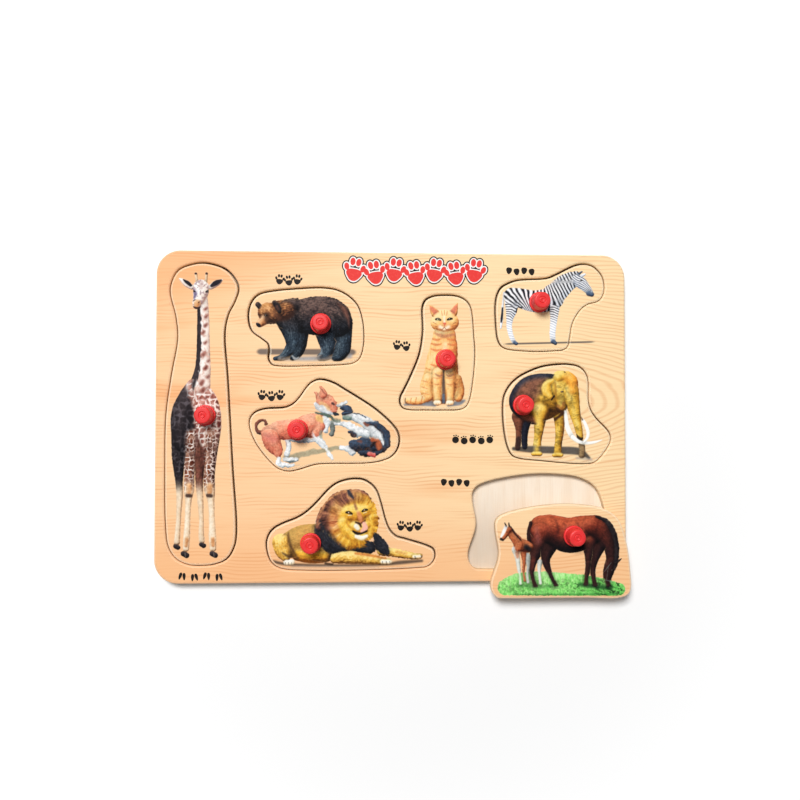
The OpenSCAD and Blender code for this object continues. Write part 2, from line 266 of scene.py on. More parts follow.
def stretched(tree, vector, *scale):
    made = addNode(tree, "ShaderNodeVectorMath", {0: vector, 1: scale}, operation="MULTIPLY")
    return made.outputs[0]


def newGroup(name, inputs, outputs):
    tree = bpy.data.node_groups.new(name, "ShaderNodeTree")
    for label, kind in inputs:
        tree.interface.new_socket(label, in_out="INPUT", socket_type=kind)
    for label, kind in outputs:
        tree.interface.new_socket(label, in_out="OUTPUT", socket_type=kind)
    return tree, tree.nodes.new("NodeGroupInput").outputs, tree.nodes.new("NodeGroupOutput")


# Grain printed on the tray's face: fine lines along the tray that close into arcs to the right
printedGrain = dict(
    ring=2.3 * mm, arcX=62 * mm, arcY=12 * mm, arcSquash=0.27, warp=14 * mm,
    slow=(13, 24, 9), uneven=(5, 60, 5), strong=(14, 95, 14), streak=(26, 1500, 26), patch=(7, 42, 7),
    ringStray=2.2, late=0.78, lineShare=0.42, fineShare=0.16, arcSide=(95 * mm, 130 * mm),
    paleSide=(-170 * mm, 150 * mm), lowSide=(-50 * mm, -100 * mm), cornerSide=(100 * mm, 140 * mm),
    leftTan=(252, 206, 158), rightTan=(253, 223, 175), pinkTan=(246, 178, 122), line=(224, 148, 90),
    shade=(80, 76, 80))

# Ground shades under the bear and the zebra: middle, half length, rise along it, end and half height
bearShade = dict(middle=(-55.5, 41.0), half=28.5, rise=0.0, end=4.0, high=2.7, strength=0.86)
zebraShade = dict(middle=(100.5, 47.7), half=25.0, rise=0.03, end=6.0, high=0.85, strength=0.85)


# A soft dark bar on the tray's face: full along its middle line, nothing at its rim and past its ends
def groundShade(tree, x, y, look):
    fromX = math(tree, "SUBTRACT", x, look["middle"][0] * mm)
    fromY = math(tree, "SUBTRACT", y, math(tree, "MULTIPLY_ADD", fromX, look["rise"], look["middle"][1] * mm))
    past = math(tree, "SUBTRACT", math(tree, "ABSOLUTE", fromX), look["half"] * mm)
    past = math(tree, "MAXIMUM", past, 0.0)
    rim = addNode(tree, "ShaderNodeCombineXYZ", {0: math(tree, "DIVIDE", past, look["end"] * mm),
                                                 1: math(tree, "DIVIDE", fromY, look["high"] * mm)})
    reach = addNode(tree, "ShaderNodeVectorMath", {0: rim.outputs[0]}, operation="LENGTH").outputs["Value"]
    return ranged(tree, reach, 1.0, 0.4, 0.0, look["strength"])


def makePrintedGrain():
    look = printedGrain
    tree, given, out = newGroup("printedGrain", [("Vector", "NodeSocketVector")],
                                [("Color", "NodeSocketColor"), ("Lines", "NodeSocketFloat")])
    vector = given["Vector"]
    x, y, _ = addNode(tree, "ShaderNodeSeparateXYZ", {0: vector}).outputs
    slow = noise(tree, stretched(tree, vector, *look["slow"]), 2.0)
    bent = math(tree, "MULTIPLY_ADD", math(tree, "SUBTRACT", slow, 0.5), look["warp"], y)
    right = math(tree, "MULTIPLY", math(tree, "MAXIMUM", math(tree, "SUBTRACT", x, look["arcX"]), 0.0),
                 look["arcSquash"])
    up = math(tree, "SUBTRACT", bent, look["arcY"])
    flat = addNode(tree, "ShaderNodeCombineXYZ", {0: right, 1: up})
    reach = addNode(tree, "ShaderNodeVectorMath", {0: flat.outputs[0]}, operation="LENGTH").outputs["Value"]
    uneven = noise(tree, stretched(tree, vector, *look["uneven"]), 2.0)
    rings = math(tree, "MULTIPLY_ADD", uneven, look["ringStray"], math(tree, "DIVIDE", reach, look["ring"]))
    fromLate = math(tree, "SUBTRACT", math(tree, "FRACT", rings), look["late"])
    late = ranged(tree, math(tree, "ABSOLUTE", fromLate), 0.3, 0.02)
    strong = ranged(tree, noise(tree, stretched(tree, vector, *look["strong"]), 2.0), 0.4, 0.66)
    strong = math(tree, "MAXIMUM", strong, ranged(tree, x, *look["arcSide"], 0.0, 0.75))
    fine = ranged(tree, noise(tree, stretched(tree, vector, *look["streak"]), 4.0, 0.7), 0.42, 0.75)
    across = ranged(tree, math(tree, "MULTIPLY_ADD", y, 0.55, x), *look["paleSide"])
    base = mixed(tree, across, rgba(*look["leftTan"]), rgba(*look["rightTan"]))
    patch = ranged(tree, noise(tree, stretched(tree, vector, *look["patch"]), 3.0), 0.5, 0.72)
    pinkish = math(tree, "MULTIPLY", patch, math(tree, "MULTIPLY_ADD", across, -0.7, 0.9))
    lowSide = ranged(tree, y, *look["lowSide"], 0.0, 0.55)
    corner = ranged(tree, math(tree, "MULTIPLY_ADD", x, -0.35, y), *look["cornerSide"], 0.0, 0.8)
    pinkish = math(tree, "MAXIMUM", pinkish, math(tree, "MAXIMUM", lowSide, corner))
    base = mixed(tree, pinkish, base, rgba(*look["pinkTan"]))
    lines = math(tree, "MULTIPLY_ADD", math(tree, "MULTIPLY", late, strong), look["lineShare"],
                 math(tree, "MULTIPLY", fine, look["fineShare"]))
    grain = mixed(tree, lines, base, rgba(*look["line"]))
    for bar in (bearShade, zebraShade):
        grain = mixed(tree, groundShade(tree, x, y, bar), grain, rgba(*look["shade"]))
    tree.links.new(grain, out.inputs["Color"])
    tree.links.new(lines, out.inputs["Lines"])
    return tree


# Real wood seen on cut sides and bare sheets: streaks along one axis and thin plies up the side
cutWood = dict(ply=1.3 * mm, wander=0.5 * mm, drift=(40, 40, 300), fibres=(1300, 46, 700), broad=(160, 9, 90),
               fibreShare=0.4, broadShare=0.35, plyShare=0.5)


def makeCutWood():
    look = cutWood
    tree, given, out = newGroup("cutWood", [("Vector", "NodeSocketVector"), ("Pale", "NodeSocketColor"),
                                            ("Dark", "NodeSocketColor"), ("Plies", "NodeSocketFloat")],
                                [("Color", "NodeSocketColor"), ("Height", "NodeSocketFloat")])
    vector = given["Vector"]
    height = addNode(tree, "ShaderNodeSeparateXYZ", {0: vector}).outputs[2]
    wander = noise(tree, stretched(tree, vector, *look["drift"]), 2.0)
    layer = math(tree, "MULTIPLY_ADD", wander, look["wander"], height)
    ply = math(tree, "SINE", math(tree, "MULTIPLY", layer, 2 * np.pi / look["ply"]))
    plies = math(tree, "MULTIPLY", ranged(tree, ply, 0.1, 0.7), given["Plies"])
    fibres = ranged(tree, noise(tree, stretched(tree, vector, *look["fibres"]), 4.0, 0.7), 0.36, 0.78)
    broad = ranged(tree, noise(tree, stretched(tree, vector, *look["broad"]), 2.0), 0.35, 0.75)
    mask = math(tree, "MULTIPLY_ADD", fibres, look["fibreShare"],
                math(tree, "MULTIPLY", broad, look["broadShare"]))
    mask = math(tree, "MINIMUM", math(tree, "MULTIPLY_ADD", plies, look["plyShare"], mask), 1.0)
    tree.links.new(mixed(tree, mask, given["Pale"], given["Dark"]), out.inputs["Color"])
    tree.links.new(fibres, out.inputs["Height"])
    return tree


grainGroup = makePrintedGrain()
cutGroup = makeCutWood()


def newMaterial(name, **values):
    material = bpy.data.materials.new(name)
    material.use_nodes = True
    tree = material.node_tree
    shader = tree.nodes["Principled BSDF"]
    for label, value in values.items():
        shader.inputs[label.replace("_", " ")].default_value = value
    place = addNode(tree, "ShaderNodeTexCoord").outputs["Object"]
    return material, tree, shader, place


def placeGroup(tree, group, inputs):
    return addNode(tree, "ShaderNodeGroup", inputs, node_tree=group).outputs


def coloured(tree, shader, colour, roughness):
    tree.links.new(colour, shader.inputs["Base Color"])
    tree.links.new(roughness, shader.inputs["Roughness"])


def bumped(tree, shader, height, distance, strength=0.5):
    made = addNode(tree, "ShaderNodeBump", {"Height": height, "Distance": distance, "Strength": strength})
    tree.links.new(made.outputs[0], shader.inputs["Normal"])


# Varnished print: the grain's own colour, a little rougher along the lines
def makeFacePrint():
    material, tree, shader, place = newMaterial("facePrint", Roughness=0.5, Specular_IOR_Level=0.15)
    grain = placeGroup(tree, grainGroup, {"Vector": place})
    coloured(tree, shader, grain["Color"], ranged(tree, grain["Lines"], 0.0, 1.0, 0.42, 0.6))
    bumped(tree, shader, grain["Lines"], 0.03 * mm, 0.4)
    return material


# Cut wood whose eased rim carries the print: paler where the print runs over the edge, partly worn print and
# partly a painted highlight, and darker in the gaps by painted shade
cutSides = dict(pale=(244, 221, 184), dark=(205, 160, 108), rimWearAndHighlight=(255, 240, 214), stainAndShade=(112, 84, 54),
                close=(4, 4, 1))


def makeRimmedWood(name, plies, lift):
    look = cutSides
    material, tree, shader, place = newMaterial(name, Roughness=0.55, Specular_IOR_Level=0.3)
    wood = placeGroup(tree, cutGroup, {"Vector": stretched(tree, place, *look["close"]), "Plies": plies,
                                       "Pale": rgba(*look["pale"]), "Dark": rgba(*look["dark"])})
    grain = placeGroup(tree, grainGroup, {"Vector": place})
    # The rim pales by the lift: partly worn print, partly a painted highlight
    rim = mixed(tree, lift, grain["Color"], rgba(*look["rimWearAndHighlight"]))
    cover = addNode(tree, "ShaderNodeAttribute", attribute_name="printCover").outputs["Fac"]
    # Print cover below zero is painted shade in the gaps round seated pieces
    stainAndShade = math(tree, "MAXIMUM", math(tree, "MULTIPLY", cover, -1.0), 0.0)
    sides = mixed(tree, stainAndShade, wood["Color"], rgba(*look["stainAndShade"]))
    coloured(tree, shader, mixed(tree, math(tree, "MAXIMUM", cover, 0.0), sides, rim),
             ranged(tree, wood["Height"], 0.0, 1.0, 0.48, 0.66))
    bumped(tree, shader, wood["Height"], 0.02 * mm, 0.3)
    return material


# Bare backing sheet: pale cream with its grain across the tray, greyed by painted shade towards a corner of
# the open recess
backing = dict(pale=(248, 234, 216), dark=(234, 210, 182), edge=0.35 * mm, plies=0.6,
               paintedShade=(186, 168, 148), corner=(62 * mm, -92 * mm, 0), reach=(10 * mm, 52 * mm), share=0.5)


def makeBackingPly():
    material, tree, shader, place = newMaterial("backingPly", Roughness=0.6, Specular_IOR_Level=0.25)
    wood = placeGroup(tree, cutGroup, {"Vector": place, "Pale": rgba(*backing["pale"]),
                                       "Dark": rgba(*backing["dark"]), "Plies": backing["plies"]})
    # Painted shade greys the floor near a corner of the open recess
    corner = addNode(tree, "ShaderNodeVectorMath", {0: place, 1: backing["corner"]}, operation="DISTANCE")
    paintedShadeShare = ranged(tree, corner.outputs["Value"], *backing["reach"], backing["share"], 0.0)
    coloured(tree, shader, mixed(tree, paintedShadeShare, wood["Color"], rgba(*backing["paintedShade"])),
             ranged(tree, wood["Height"], 0.0, 1.0, 0.52, 0.7))
    bumped(tree, shader, wood["Height"], 0.05 * mm)
    return material


# Picture print: painted colour over the same grain
def makePicturePrint():
    material, tree, shader, place = newMaterial("picturePrint", Roughness=0.6, Specular_IOR_Level=0.08)
    grain = placeGroup(tree, grainGroup, {"Vector": place})
    paint = addNode(tree, "ShaderNodeAttribute", attribute_name="pictureColour").outputs["Color"]
    ink = addNode(tree, "ShaderNodeAttribute", attribute_name="pictureInk").outputs["Fac"]
    coloured(tree, shader, mixed(tree, ink, grain["Color"], paint), ranged(tree, ink, 0.0, 1.0, 0.55, 0.65))
    bumped(tree, shader, grain["Lines"], 0.02 * mm, 0.3)
    return material


# Noise scales of plastic and ink
plasticNoise = dict(clouds=(300, 300, 300), skin=(2600, 2600, 2600))
inkNoise = (900, 900, 900)


# Moulded plastic: faint clouds in the colour and a fine skin
def makePlastic(name, colour, deep, roughness):
    material, tree, shader, place = newMaterial(name, Roughness=roughness, Specular_IOR_Level=0.35)
    clouds = noise(tree, stretched(tree, place, *plasticNoise["clouds"]), 3.0)
    skin = noise(tree, stretched(tree, place, *plasticNoise["skin"]), 2.0)
    coloured(tree, shader, mixed(tree, ranged(tree, clouds, 0.35, 0.8), rgba(*colour), rgba(*deep)),
             ranged(tree, skin, 0.3, 0.7, roughness - 0.06, roughness + 0.08))
    bumped(tree, shader, skin, 0.03 * mm, 0.25)
    return material


# Flat printing ink: slightly uneven cover
def makeInk(name, colour, thin):
    material, tree, shader, place = newMaterial(name, Roughness=0.5, Specular_IOR_Level=0.1)
    cover = noise(tree, stretched(tree, place, *inkNoise), 3.0)
    coloured(tree, shader, mixed(tree, ranged(tree, cover, 0.45, 0.8), rgba(*colour), rgba(*thin)),
             ranged(tree, cover, 0.3, 0.7, 0.4, 0.55))
    return material


facePrint = makeFacePrint()
panelWood = makeRimmedWood("panelWood", 0.55, 0.1)
blankWood = makeRimmedWood("blankWood", 0.35, 0.32)
backingPly = makeBackingPly()
picturePrint = makePicturePrint()
pegRed = makePlastic("pegRed", (236, 56, 56), (226, 46, 48), 0.36)
rivetRed = makePlastic("rivetRed", (196, 40, 42), (170, 28, 34), 0.42)
inkBlack = makeInk("inkBlack", (30, 26, 24), (58, 50, 44))
inkWhite = makeInk("inkWhite", (250, 246, 242), (240, 232, 224))
inkRed = makeInk("inkRed", (232, 62, 58), (240, 84, 76))
print("materials made:", len(bpy.data.materials))


# Tray: backing sheet, recessed panel and face print

# Painted shade at the foot of the wall round a seated piece, on the floor of the gap and low on the wall:
# growth, rise and, below zero, how much painted shade
gapShade = ((1.15, 0, -0.6), (1.15, 0.01, -0.6), (0.6, 0.012, -1), (0, 0.02, -1), (0, 0.8, -0.5),
           (0, 2.2, -0.1))
# The wood's eased rim rises almost flush with the print that it borders
printLip = dict(margin=1.18 * mm, rise=0.27 * mm, drop=0.75 * mm)


# A wall from its foot up to the printed rim
def rimmedWall(foot, top):
    margin, drop = printLip["margin"], printLip["drop"]
    rim = easedEdge(margin, top - drop, top + printLip["rise"], 1)
    return [*foot, (0, top - 1.6 * drop, 0), *rim, (-margin, top, 1)]


def makeTray():
    low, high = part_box("backing_board")
    edge = backing["edge"]
    outline = evenLoop(capLoops("backing_board")[0], loopStep["backing"])
    profile = [(-edge, low.z, 0), (-0.3 * edge, low.z + 0.3 * edge, 0), (0, low.z + edge, 0), (0, high.z, 0)]
    points, faces, _ = walledSolid([(outline, profile)])
    newPiece("backing_sheet", points, faces, backingPly, "tray", "backing_board")

    low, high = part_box("frame_panel")
    walls = []
    boxes = [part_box(animal + "_blank") for animal in animals]
    seats = np.array([((a + b) / 2)[:2] for a, b in boxes if a.z < high.z])
    outline, *recesses = capLoops("frame_panel")
    for loop in (outline, *recesses):
        filled = loop is not outline and insideLoops(seats, [loop]).any()
        # Round a seated piece the foot of the wall gets painted shade
        rows = gapShade if filled else [(0, 0, 0)]
        foot = [(grow * mm, low.z + rise * mm, stainAndShade) for grow, rise, stainAndShade in rows]
        walls.append((evenLoop(loop, loopStep["panel"]), rimmedWall(foot, high.z)))
    points, faces, ink = walledSolid(walls)
    newPiece("recessed_panel", points, faces, panelWood, "tray", "frame_panel", ink)
    dress("frame_print", facePrint)
    print("tray made")


makeTray()


# Tracks printed on the tray, in thin layers of ink

# Pads of one track, as places and half sizes in shares of its width, turn in degrees and lobes
tracks = dict(
    paw=((0, -0.26, 0.4, 0.32, 0, 0.1), (-0.43, 0.1, 0.13, 0.19, 18, 0), (-0.155, 0.4, 0.135, 0.2, 5, 0),
         (0.155, 0.4, 0.135, 0.2, -5, 0), (0.43, 0.1, 0.13, 0.19, -18, 0)),
    split=((-0.2, 0, 0.16, 0.38, -10, 0.08), (0.2, 0, 0.16, 0.38, 10, 0.08)),
    hoof=((0, 0, 0.36, 0.42, 0, 0.09),),
    round=((0, -0.06, 0.42, 0.42, 0, 0), (-0.27, 0.42, 0.1, 0.08, 25, 0), (0, 0.5, 0.11, 0.08, 0, 0),
           (0.27, 0.42, 0.1, 0.08, -25, 0)))

# Large paw prints along the top: places and sizes in millimetres, and the growth and height of each ink
pawRow = dict(first=-25.2, step=12.9, count=7, y=93.0, width=12.2, sway=0.9, tilt=10,
             inks=(("paws_black", 1.5, 0.02), ("paws_white", 0.75, 0.04), ("paws_red", 0.0, 0.06)))

# Every pad: its sides, how far its ink starts below the face, and the rise from one pad to the next
padInk = dict(sides=40, sink=0.05 * mm, lift=0.0005 * mm)
# Small tracks sway and tilt in turn
smallTracks = dict(sway=0.35, tilt=8, rise=0.02)

# Rows of small tracks: kind of track, middle, count of tracks, step and width in millimetres
trackRows = dict(
    giraffe=("split", (-121, -100.4), 4, 7.6, 6.0), bear=("paw", (-67, 86.8), 3, 5.6, 5.4),
    cat=("paw", (5, 45.4), 2, 5.6, 5.2), zebra=("hoof", (81.6, 94), 4, 4.9, 5.2),
    dogs=("paw", (-77.6, 13.2), 3, 5.7, 5.4), elephant=("round", (50.6, -14.8), 5, 5.5, 5.2),
    lion=("paw", (10.2, -69.6), 3, 5.4, 5.2), horses=("hoof", (39.4, -42), 4, 4.9, 5.2))


def spun(points, degrees):
    a = np.radians(degrees)
    return points @ [[np.cos(a), np.sin(a)], [-np.sin(a), np.cos(a)]]


# A pad is a unit disc with three shallow lobes, stretched to its half sizes, turned and moved
def trackShape(kind, place, width, tilt, grow, low, high):
    points, faceSets, count = [], [], 0
    for k, (x, y, wide, tall, turn, lobe) in enumerate(tracks[kind]):
        made, faces = turnedShape((0, 0), [(1, low), (1, high + padInk["lift"] * k)], padInk["sides"])
        angle = np.arctan2(made[:, 1], made[:, 0])
        made[:, :2] *= (1 + lobe * np.sin(3 * angle))[:, None] * (wide * width + grow, tall * width + grow)
        pad = spun(made[:, :2], turn) + (x * width, y * width)
        made[:, :2] = (spun(pad, tilt) + place) * mm
        points.append(made)
        faceSets.append([f + count for f in faces])
        count += len(made)
    return np.concatenate(points), faceSets


def makeTracks(name, rows, material, grow, rise):
    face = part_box("frame_print")[1].z
    points, quads, caps, count = [], [], [], 0
    for kind, place, width, tilt in rows:
        made, faceSets = trackShape(kind, place, width, tilt, grow, face - padInk["sink"], face + rise * mm)
        quads += [faces[0] + count for faces in faceSets]
        caps += [cap + count for faces in faceSets for cap in faces[1:]]
        points.append(made)
        count += len(made)
    faces = [np.concatenate(quads), np.concatenate(caps)]
    newPiece(name, np.concatenate(points), faces, material, "tray")


def printTracks():
    t = pawRow
    side = [1 - 2 * (k % 2) for k in range(t["count"])]
    rows = [("paw", (t["first"] + t["step"] * k, t["y"] + t["sway"] * s), t["width"], -t["tilt"] * s)
            for k, s in enumerate(side)]
    for (name, grow, rise), ink in zip(t["inks"], (inkBlack, inkWhite, inkRed)):
        makeTracks(name, rows, ink, grow, rise)
    for animal, (kind, (x, y), count, step, width) in trackRows.items():
        rows = []
        for k in range(count):
            place = (x + step * (k - (count - 1) / 2), y + smallTracks["sway"] * (-1) ** k)
            rows.append((kind, place, width, -smallTracks["tilt"] * (-1) ** k))
        makeTracks(animal + "_tracks", rows, inkBlack, 0.0, smallTracks["rise"])
    print("tracks printed:", len(trackRows) + 1, "rows")


# Picture pieces

# Eased lower edge of a blank as inset and height, and the pocket round its bore
blankFoot = ((0.5, 0), (0.15, 0.15), (0, 0.5))
rivetPocket = dict(depth=1.5 * mm, radius=4.8 * mm, bore=3.1 * mm)


def makeBlank(animal):
    node = animal + "_blank"
    low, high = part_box(node)
    foot = [(-inset * mm, low.z + height * mm, 0) for inset, height in blankFoot]
    outline, bore = capLoops(node)
    pocketFloor = low.z + rivetPocket["depth"]
    step = rivetPocket["radius"] - rivetPocket["bore"]
    hole = [(-step, low.z, 0), (-step, pocketFloor, 0), (0, pocketFloor, 0), (0, high.z, 0)]
    walls = [(evenLoop(outline, loopStep["blank"]), rimmedWall(foot, high.z)),
             (evenLoop(bore, loopStep["bore"]), hole)]
    points, faces, ink = walledSolid(walls)
    newPiece(animal + "_piece_wood", points, faces, blankWood, animal + "_piece", node, ink)


# Grid of a picture sheet: columns across and rows up, the share of its bunching at both ends, and
# how far short of them it stops
sheetRows = dict(bunch=0.35, short=0.0002)
pictureGrid = dict(
    giraffe=(120, 540), bear=(230, 180), cat=(150, 260), zebra=(225, 200),
    dogs=(260, 200), elephant=(220, 220), lion=(290, 200), horses=(250, 220))


# Place on a picture sheet: s runs from its left outline to its right one at one height,
# and t from its lowest point to its highest, closer together near both
def sheetPlaces(outline, columns, rows):
    lowest, highest = outline[:, 1].argmin(), outline[:, 1].argmax()
    turned = np.roll(outline, -lowest, 0)
    top = (highest - lowest) % len(outline)
    rightSide, leftSide = turned[:top + 1], np.concatenate((turned[top:], turned[:1]))[::-1]
    t = np.linspace(0, np.pi, rows)
    bunch, short = sheetRows["bunch"], sheetRows["short"]
    share = bunch * (1 - np.cos(t)) / 2 + (1 - bunch) * t / np.pi
    share = short + (1 - 2 * short) * share
    y = outline[lowest, 1] + share * (outline[highest, 1] - outline[lowest, 1])
    left = np.interp(y, np.maximum.accumulate(leftSide[:, 1]), leftSide[:, 0])
    right = np.interp(y, np.maximum.accumulate(rightSide[:, 1]), rightSide[:, 0])
    s = np.linspace(0, 1, columns)
    x = left[:, None] + (right - left)[:, None] * s
    return x, np.repeat(y[:, None], columns, 1)


# Sheet, skirt and underside as one closed mesh: the underside is one strip of quads
def makePicture(animal, paint):
    node = animal + "_print"
    low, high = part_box(node)
    columns, rows = pictureGrid[animal]
    x, y = sheetPlaces(evenLoop(capLoops(node)[0], loopStep["picture"]), columns, rows)
    sheet = np.stack((x, y, np.full_like(x, high.z)), -1)
    under = sheet[:, [0, -1]].copy()
    under[..., 2] = low.z
    number = np.arange(rows * columns).reshape(rows, columns)
    below = rows * columns + np.arange(rows * 2).reshape(rows, 2)
    top = np.stack((number[:-1, :-1], number[:-1, 1:], number[1:, 1:], number[1:, :-1]), -1).reshape(-1, 4)
    left = np.stack((number[1:, 0], below[1:, 0], below[:-1, 0], number[:-1, 0]), -1)
    right = np.stack((number[:-1, -1], below[:-1, 1], below[1:, 1], number[1:, -1]), -1)
    floor = np.stack((below[:-1, 0], below[1:, 0], below[1:, 1], below[:-1, 1]), -1)
    near = np.concatenate((number[0, ::-1], below[0]))[None]
    far = np.concatenate((number[-1], below[-1, ::-1]))[None]
    points = np.concatenate((sheet.reshape(-1, 3), under.reshape(-1, 3)))
    colour, ink = paint(x.ravel() / mm, y.ravel() / mm)
    bare = rows * 2
    colour = np.concatenate((np.column_stack((colour, np.ones(len(colour)))), np.ones((bare, 4))))
    ink = np.concatenate((ink, np.zeros(bare)))
    newPiece(animal + "_picture", points, [top, left, right, floor, near, far], picturePrint,
             animal + "_piece", node,
             {"pictureColour": ("FLOAT_COLOR", "color", colour), "pictureInk": ("FLOAT", "value", ink)})


# A turned shape: a profile of radius and height carried round an upright axis,
# with its two ends closed on the axis
def turnedShape(centre, profile, sides):
    radius, height = np.array(profile).T
    turn = np.arange(sides) * 2 * np.pi / sides
    rings = np.stack((centre[0] + radius[:, None] * np.cos(turn), centre[1] + radius[:, None] * np.sin(turn),
                      np.repeat(height[:, None], sides, 1)), -1).reshape(-1, 3)
    ends = np.array([(*centre, height[0]), (*centre, height[-1])])
    count = len(radius)
    k = np.arange(sides)
    first = np.stack((np.full(sides, count * sides), (k + 1) % sides, k), -1)
    lastRing = (count - 1) * sides
    last = np.stack((np.full(sides, count * sides + 1), lastRing + k, lastRing + (k + 1) % sides), -1)
    return np.concatenate((rings, ends)), [ringQuads(count, sides), first, last]


peg = dict(flange=6.6, flangeHeight=2.0, flangeEdge=0.6, foot=5.7, top=5.2, topEdge=1.0, fillet=0.28,
           groove=2.05, grooveWidth=0.7, grooveDepth=0.5, dimple=0.85, dimpleDepth=0.4, crown=0.1,
           stem=3.0, stemEdge=0.1, seatEdge=0.2, axis=0.05, tip=0.02, topSteps=44, height=11.0, sides=96)


# Points round an arc in the profile's plane, from one angle to another
def arc(centreRadius, centreHeight, radius, start, end, steps=8):
    angle = np.radians(np.linspace(start, end, steps))
    return [(centreRadius + radius * np.cos(a), centreHeight + radius * np.sin(a)) for a in angle]


def makePeg(animal):
    low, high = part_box(animal + "_peg")
    centre = ((low + high) / 2)[:2]
    p = peg
    seat = high.z / mm - p["height"]
    foot = low.z / mm - seat
    edge, fillet = p["flangeEdge"], p["fillet"]
    across = np.linspace(p["top"] - p["topEdge"], p["tip"], p["topSteps"])
    dome = p["crown"] * (1 - (across / p["top"]) ** 2)
    ring = p["grooveDepth"] * np.exp(-((across - p["groove"]) / (0.5 * p["grooveWidth"])) ** 4)
    hollow = p["dimpleDepth"] * np.exp(-(across / p["dimple"]) ** 4)
    topHeight = p["height"] - p["crown"]
    profile = [(p["axis"], foot), (p["stem"] - p["stemEdge"], foot), (p["stem"], foot + p["stemEdge"]),
               (p["stem"], 0), (p["flange"] - p["seatEdge"], 0), (p["flange"], p["seatEdge"]),
               *arc(p["flange"] - edge, p["flangeHeight"] - edge, edge, 0, 90),
               *arc(p["foot"] + fillet, p["flangeHeight"] + fillet, fillet, 265, 183, 6),
               *arc(p["top"] - p["topEdge"], topHeight - p["topEdge"], p["topEdge"], 3, 88),
               *zip(across, topHeight + dome - ring - hollow)]
    profile = [(radius * mm, (seat + height) * mm) for radius, height in profile]
    points, faces = turnedShape(centre, profile, p["sides"])
    newPiece(animal + "_knob", points, faces, pegRed, animal + "_piece", animal + "_peg")
    dress(animal + "_rivet", rivetRed)


# Pictures are painted point by point, in millimetres on the tray's axes and 0 to 255 screen colours

# Odd numbers that scramble a lattice corner's place into a random value
scramble = dict(column=374761393, row=668265263, seed=982451653, again=1274126177)


# Smooth noise from 0 to 1: fixed random values on a square lattice, blended between its corners
def latticeNoise(x, y, seed=0):
    column, row = np.floor(x).astype(np.int64), np.floor(y).astype(np.int64)
    fx, fy = x - column, y - row

    def corner(a, b):
        value = (a * scramble["column"] + b * scramble["row"] + seed * scramble["seed"]) & 0xffffffff
        value = ((value ^ (value >> 13)) * scramble["again"]) & 0xffffffff
        return ((value ^ (value >> 16)) & 0xffff) / 0xffff

    ux, uy = fx * fx * (3 - 2 * fx), fy * fy * (3 - 2 * fy)
    low = corner(column, row) * (1 - ux) + corner(column + 1, row) * ux
    high = corner(column, row + 1) * (1 - ux) + corner(column + 1, row + 1) * ux
    return low * (1 - uy) + high * uy


def eased(value, low, high):
    share = np.clip((value - low) / (high - low), 0, 1)
    return share * share * (3 - 2 * share)


def blended(a, b, share):
    return a + (np.asarray(b, float) - a) * share[:, None]


# Distances to the nearest and the next nearest of points strewn one to a square cell
def cellDistances(x, y, size, seed):
    column, row = np.floor(x / size), np.floor(y / size)
    near, second = np.full(len(x), 9.0), np.full(len(x), 9.0)
    for right, up in ((a, b) for a in (-1, 0, 1) for b in (-1, 0, 1)):
        a, b = column + right, row + up
        px = a + 0.1 + 0.8 * latticeNoise(a * 7 + 0.5, b * 7 + 0.5, seed)
        py = b + 0.1 + 0.8 * latticeNoise(a * 7 + 0.5, b * 7 + 0.5, seed + 5)
        reach = np.hypot(x / size - px, y / size - py)
        second = np.minimum(second, np.maximum(near, reach))
        near = np.minimum(near, reach)
    return near, second


# Points of a limb's line from one row to the next
limbSteps = 7


# A smooth line through rows of (x, y, radius): a cubic between each two rows, whose slope
# at a row is half the step between the row's neighbours
def limbLine(rows):
    p = np.array(rows, float)
    if len(p) == 1:
        p = np.concatenate((p, p + (0.01, 0, 0)))
    before, after = np.concatenate((p[:1], p[:-1])), np.concatenate((p[1:], p[-1:]))
    slope = (after - before) / 2
    t = np.linspace(0, 1, limbSteps, endpoint=False)[None, :, None]
    a, b, sa, sb = (v[:, None] for v in (p[:-1], p[1:], slope[:-1], slope[1:]))
    return np.concatenate((cubic(a, b, sa, sb, t).reshape(-1, 3), p[-1:]))


# Where points lie on a limb, taken as a chain of cones: distance past its edge, shares across and up
# its round section, share to its right, distance along it, and its radius there
def limbField(x, y, rows):
    line = limbLine(rows)
    a, step = line[:-1], np.diff(line, axis=0)
    length = np.maximum(np.hypot(step[:, 0], step[:, 1]), 1e-6)
    start = np.cumsum(length) - length
    slant = np.clip(step[:, 2] / length, -0.95, 0.95)
    dx, dy = x[:, None] - a[:, 0], y[:, None] - a[:, 1]
    aside = np.abs(dx * step[:, 1] - dy * step[:, 0]) / length * slant / np.sqrt(1 - slant ** 2)
    t = np.clip(((dx * step[:, 0] + dy * step[:, 1]) / length + aside) / length, 0, 1)
    radius = np.maximum(a[:, 2] + t * step[:, 2], 1e-3)
    dx, dy = dx - t * step[:, 0], dy - t * step[:, 1]
    past = np.hypot(dx, dy) - radius
    k = past.argmin(1)
    pick = (np.arange(len(x)), k)
    dx, dy, radius, t = dx[pick], dy[pick], radius[pick], t[pick]
    right = (dx * step[k, 1] - dy * step[k, 0]) / length[k] / radius
    return past[pick], dx / radius, dy / radius, right, start[k] + t * length[k], radius


def nearRows(art, rows, margin):
    p = np.array(rows, float)
    low, high = (p[:, :2] - p[:, 2:]).min(0) - margin, (p[:, :2] + p[:, 2:]).max(0) + margin
    x, y = art["x"], art["y"]
    return np.flatnonzero((x > low[0]) & (x < high[0]) & (y > low[1]) & (y < high[1]))


# Lay a colour over the paint that is there, by its share
def layPaint(art, near, colour, share):
    ink = art["ink"][near]
    whole = share + ink * (1 - share)
    art["colour"][near] = blended(art["colour"][near], colour, share / np.maximum(whole, 1e-6))
    art["ink"][near] = whole


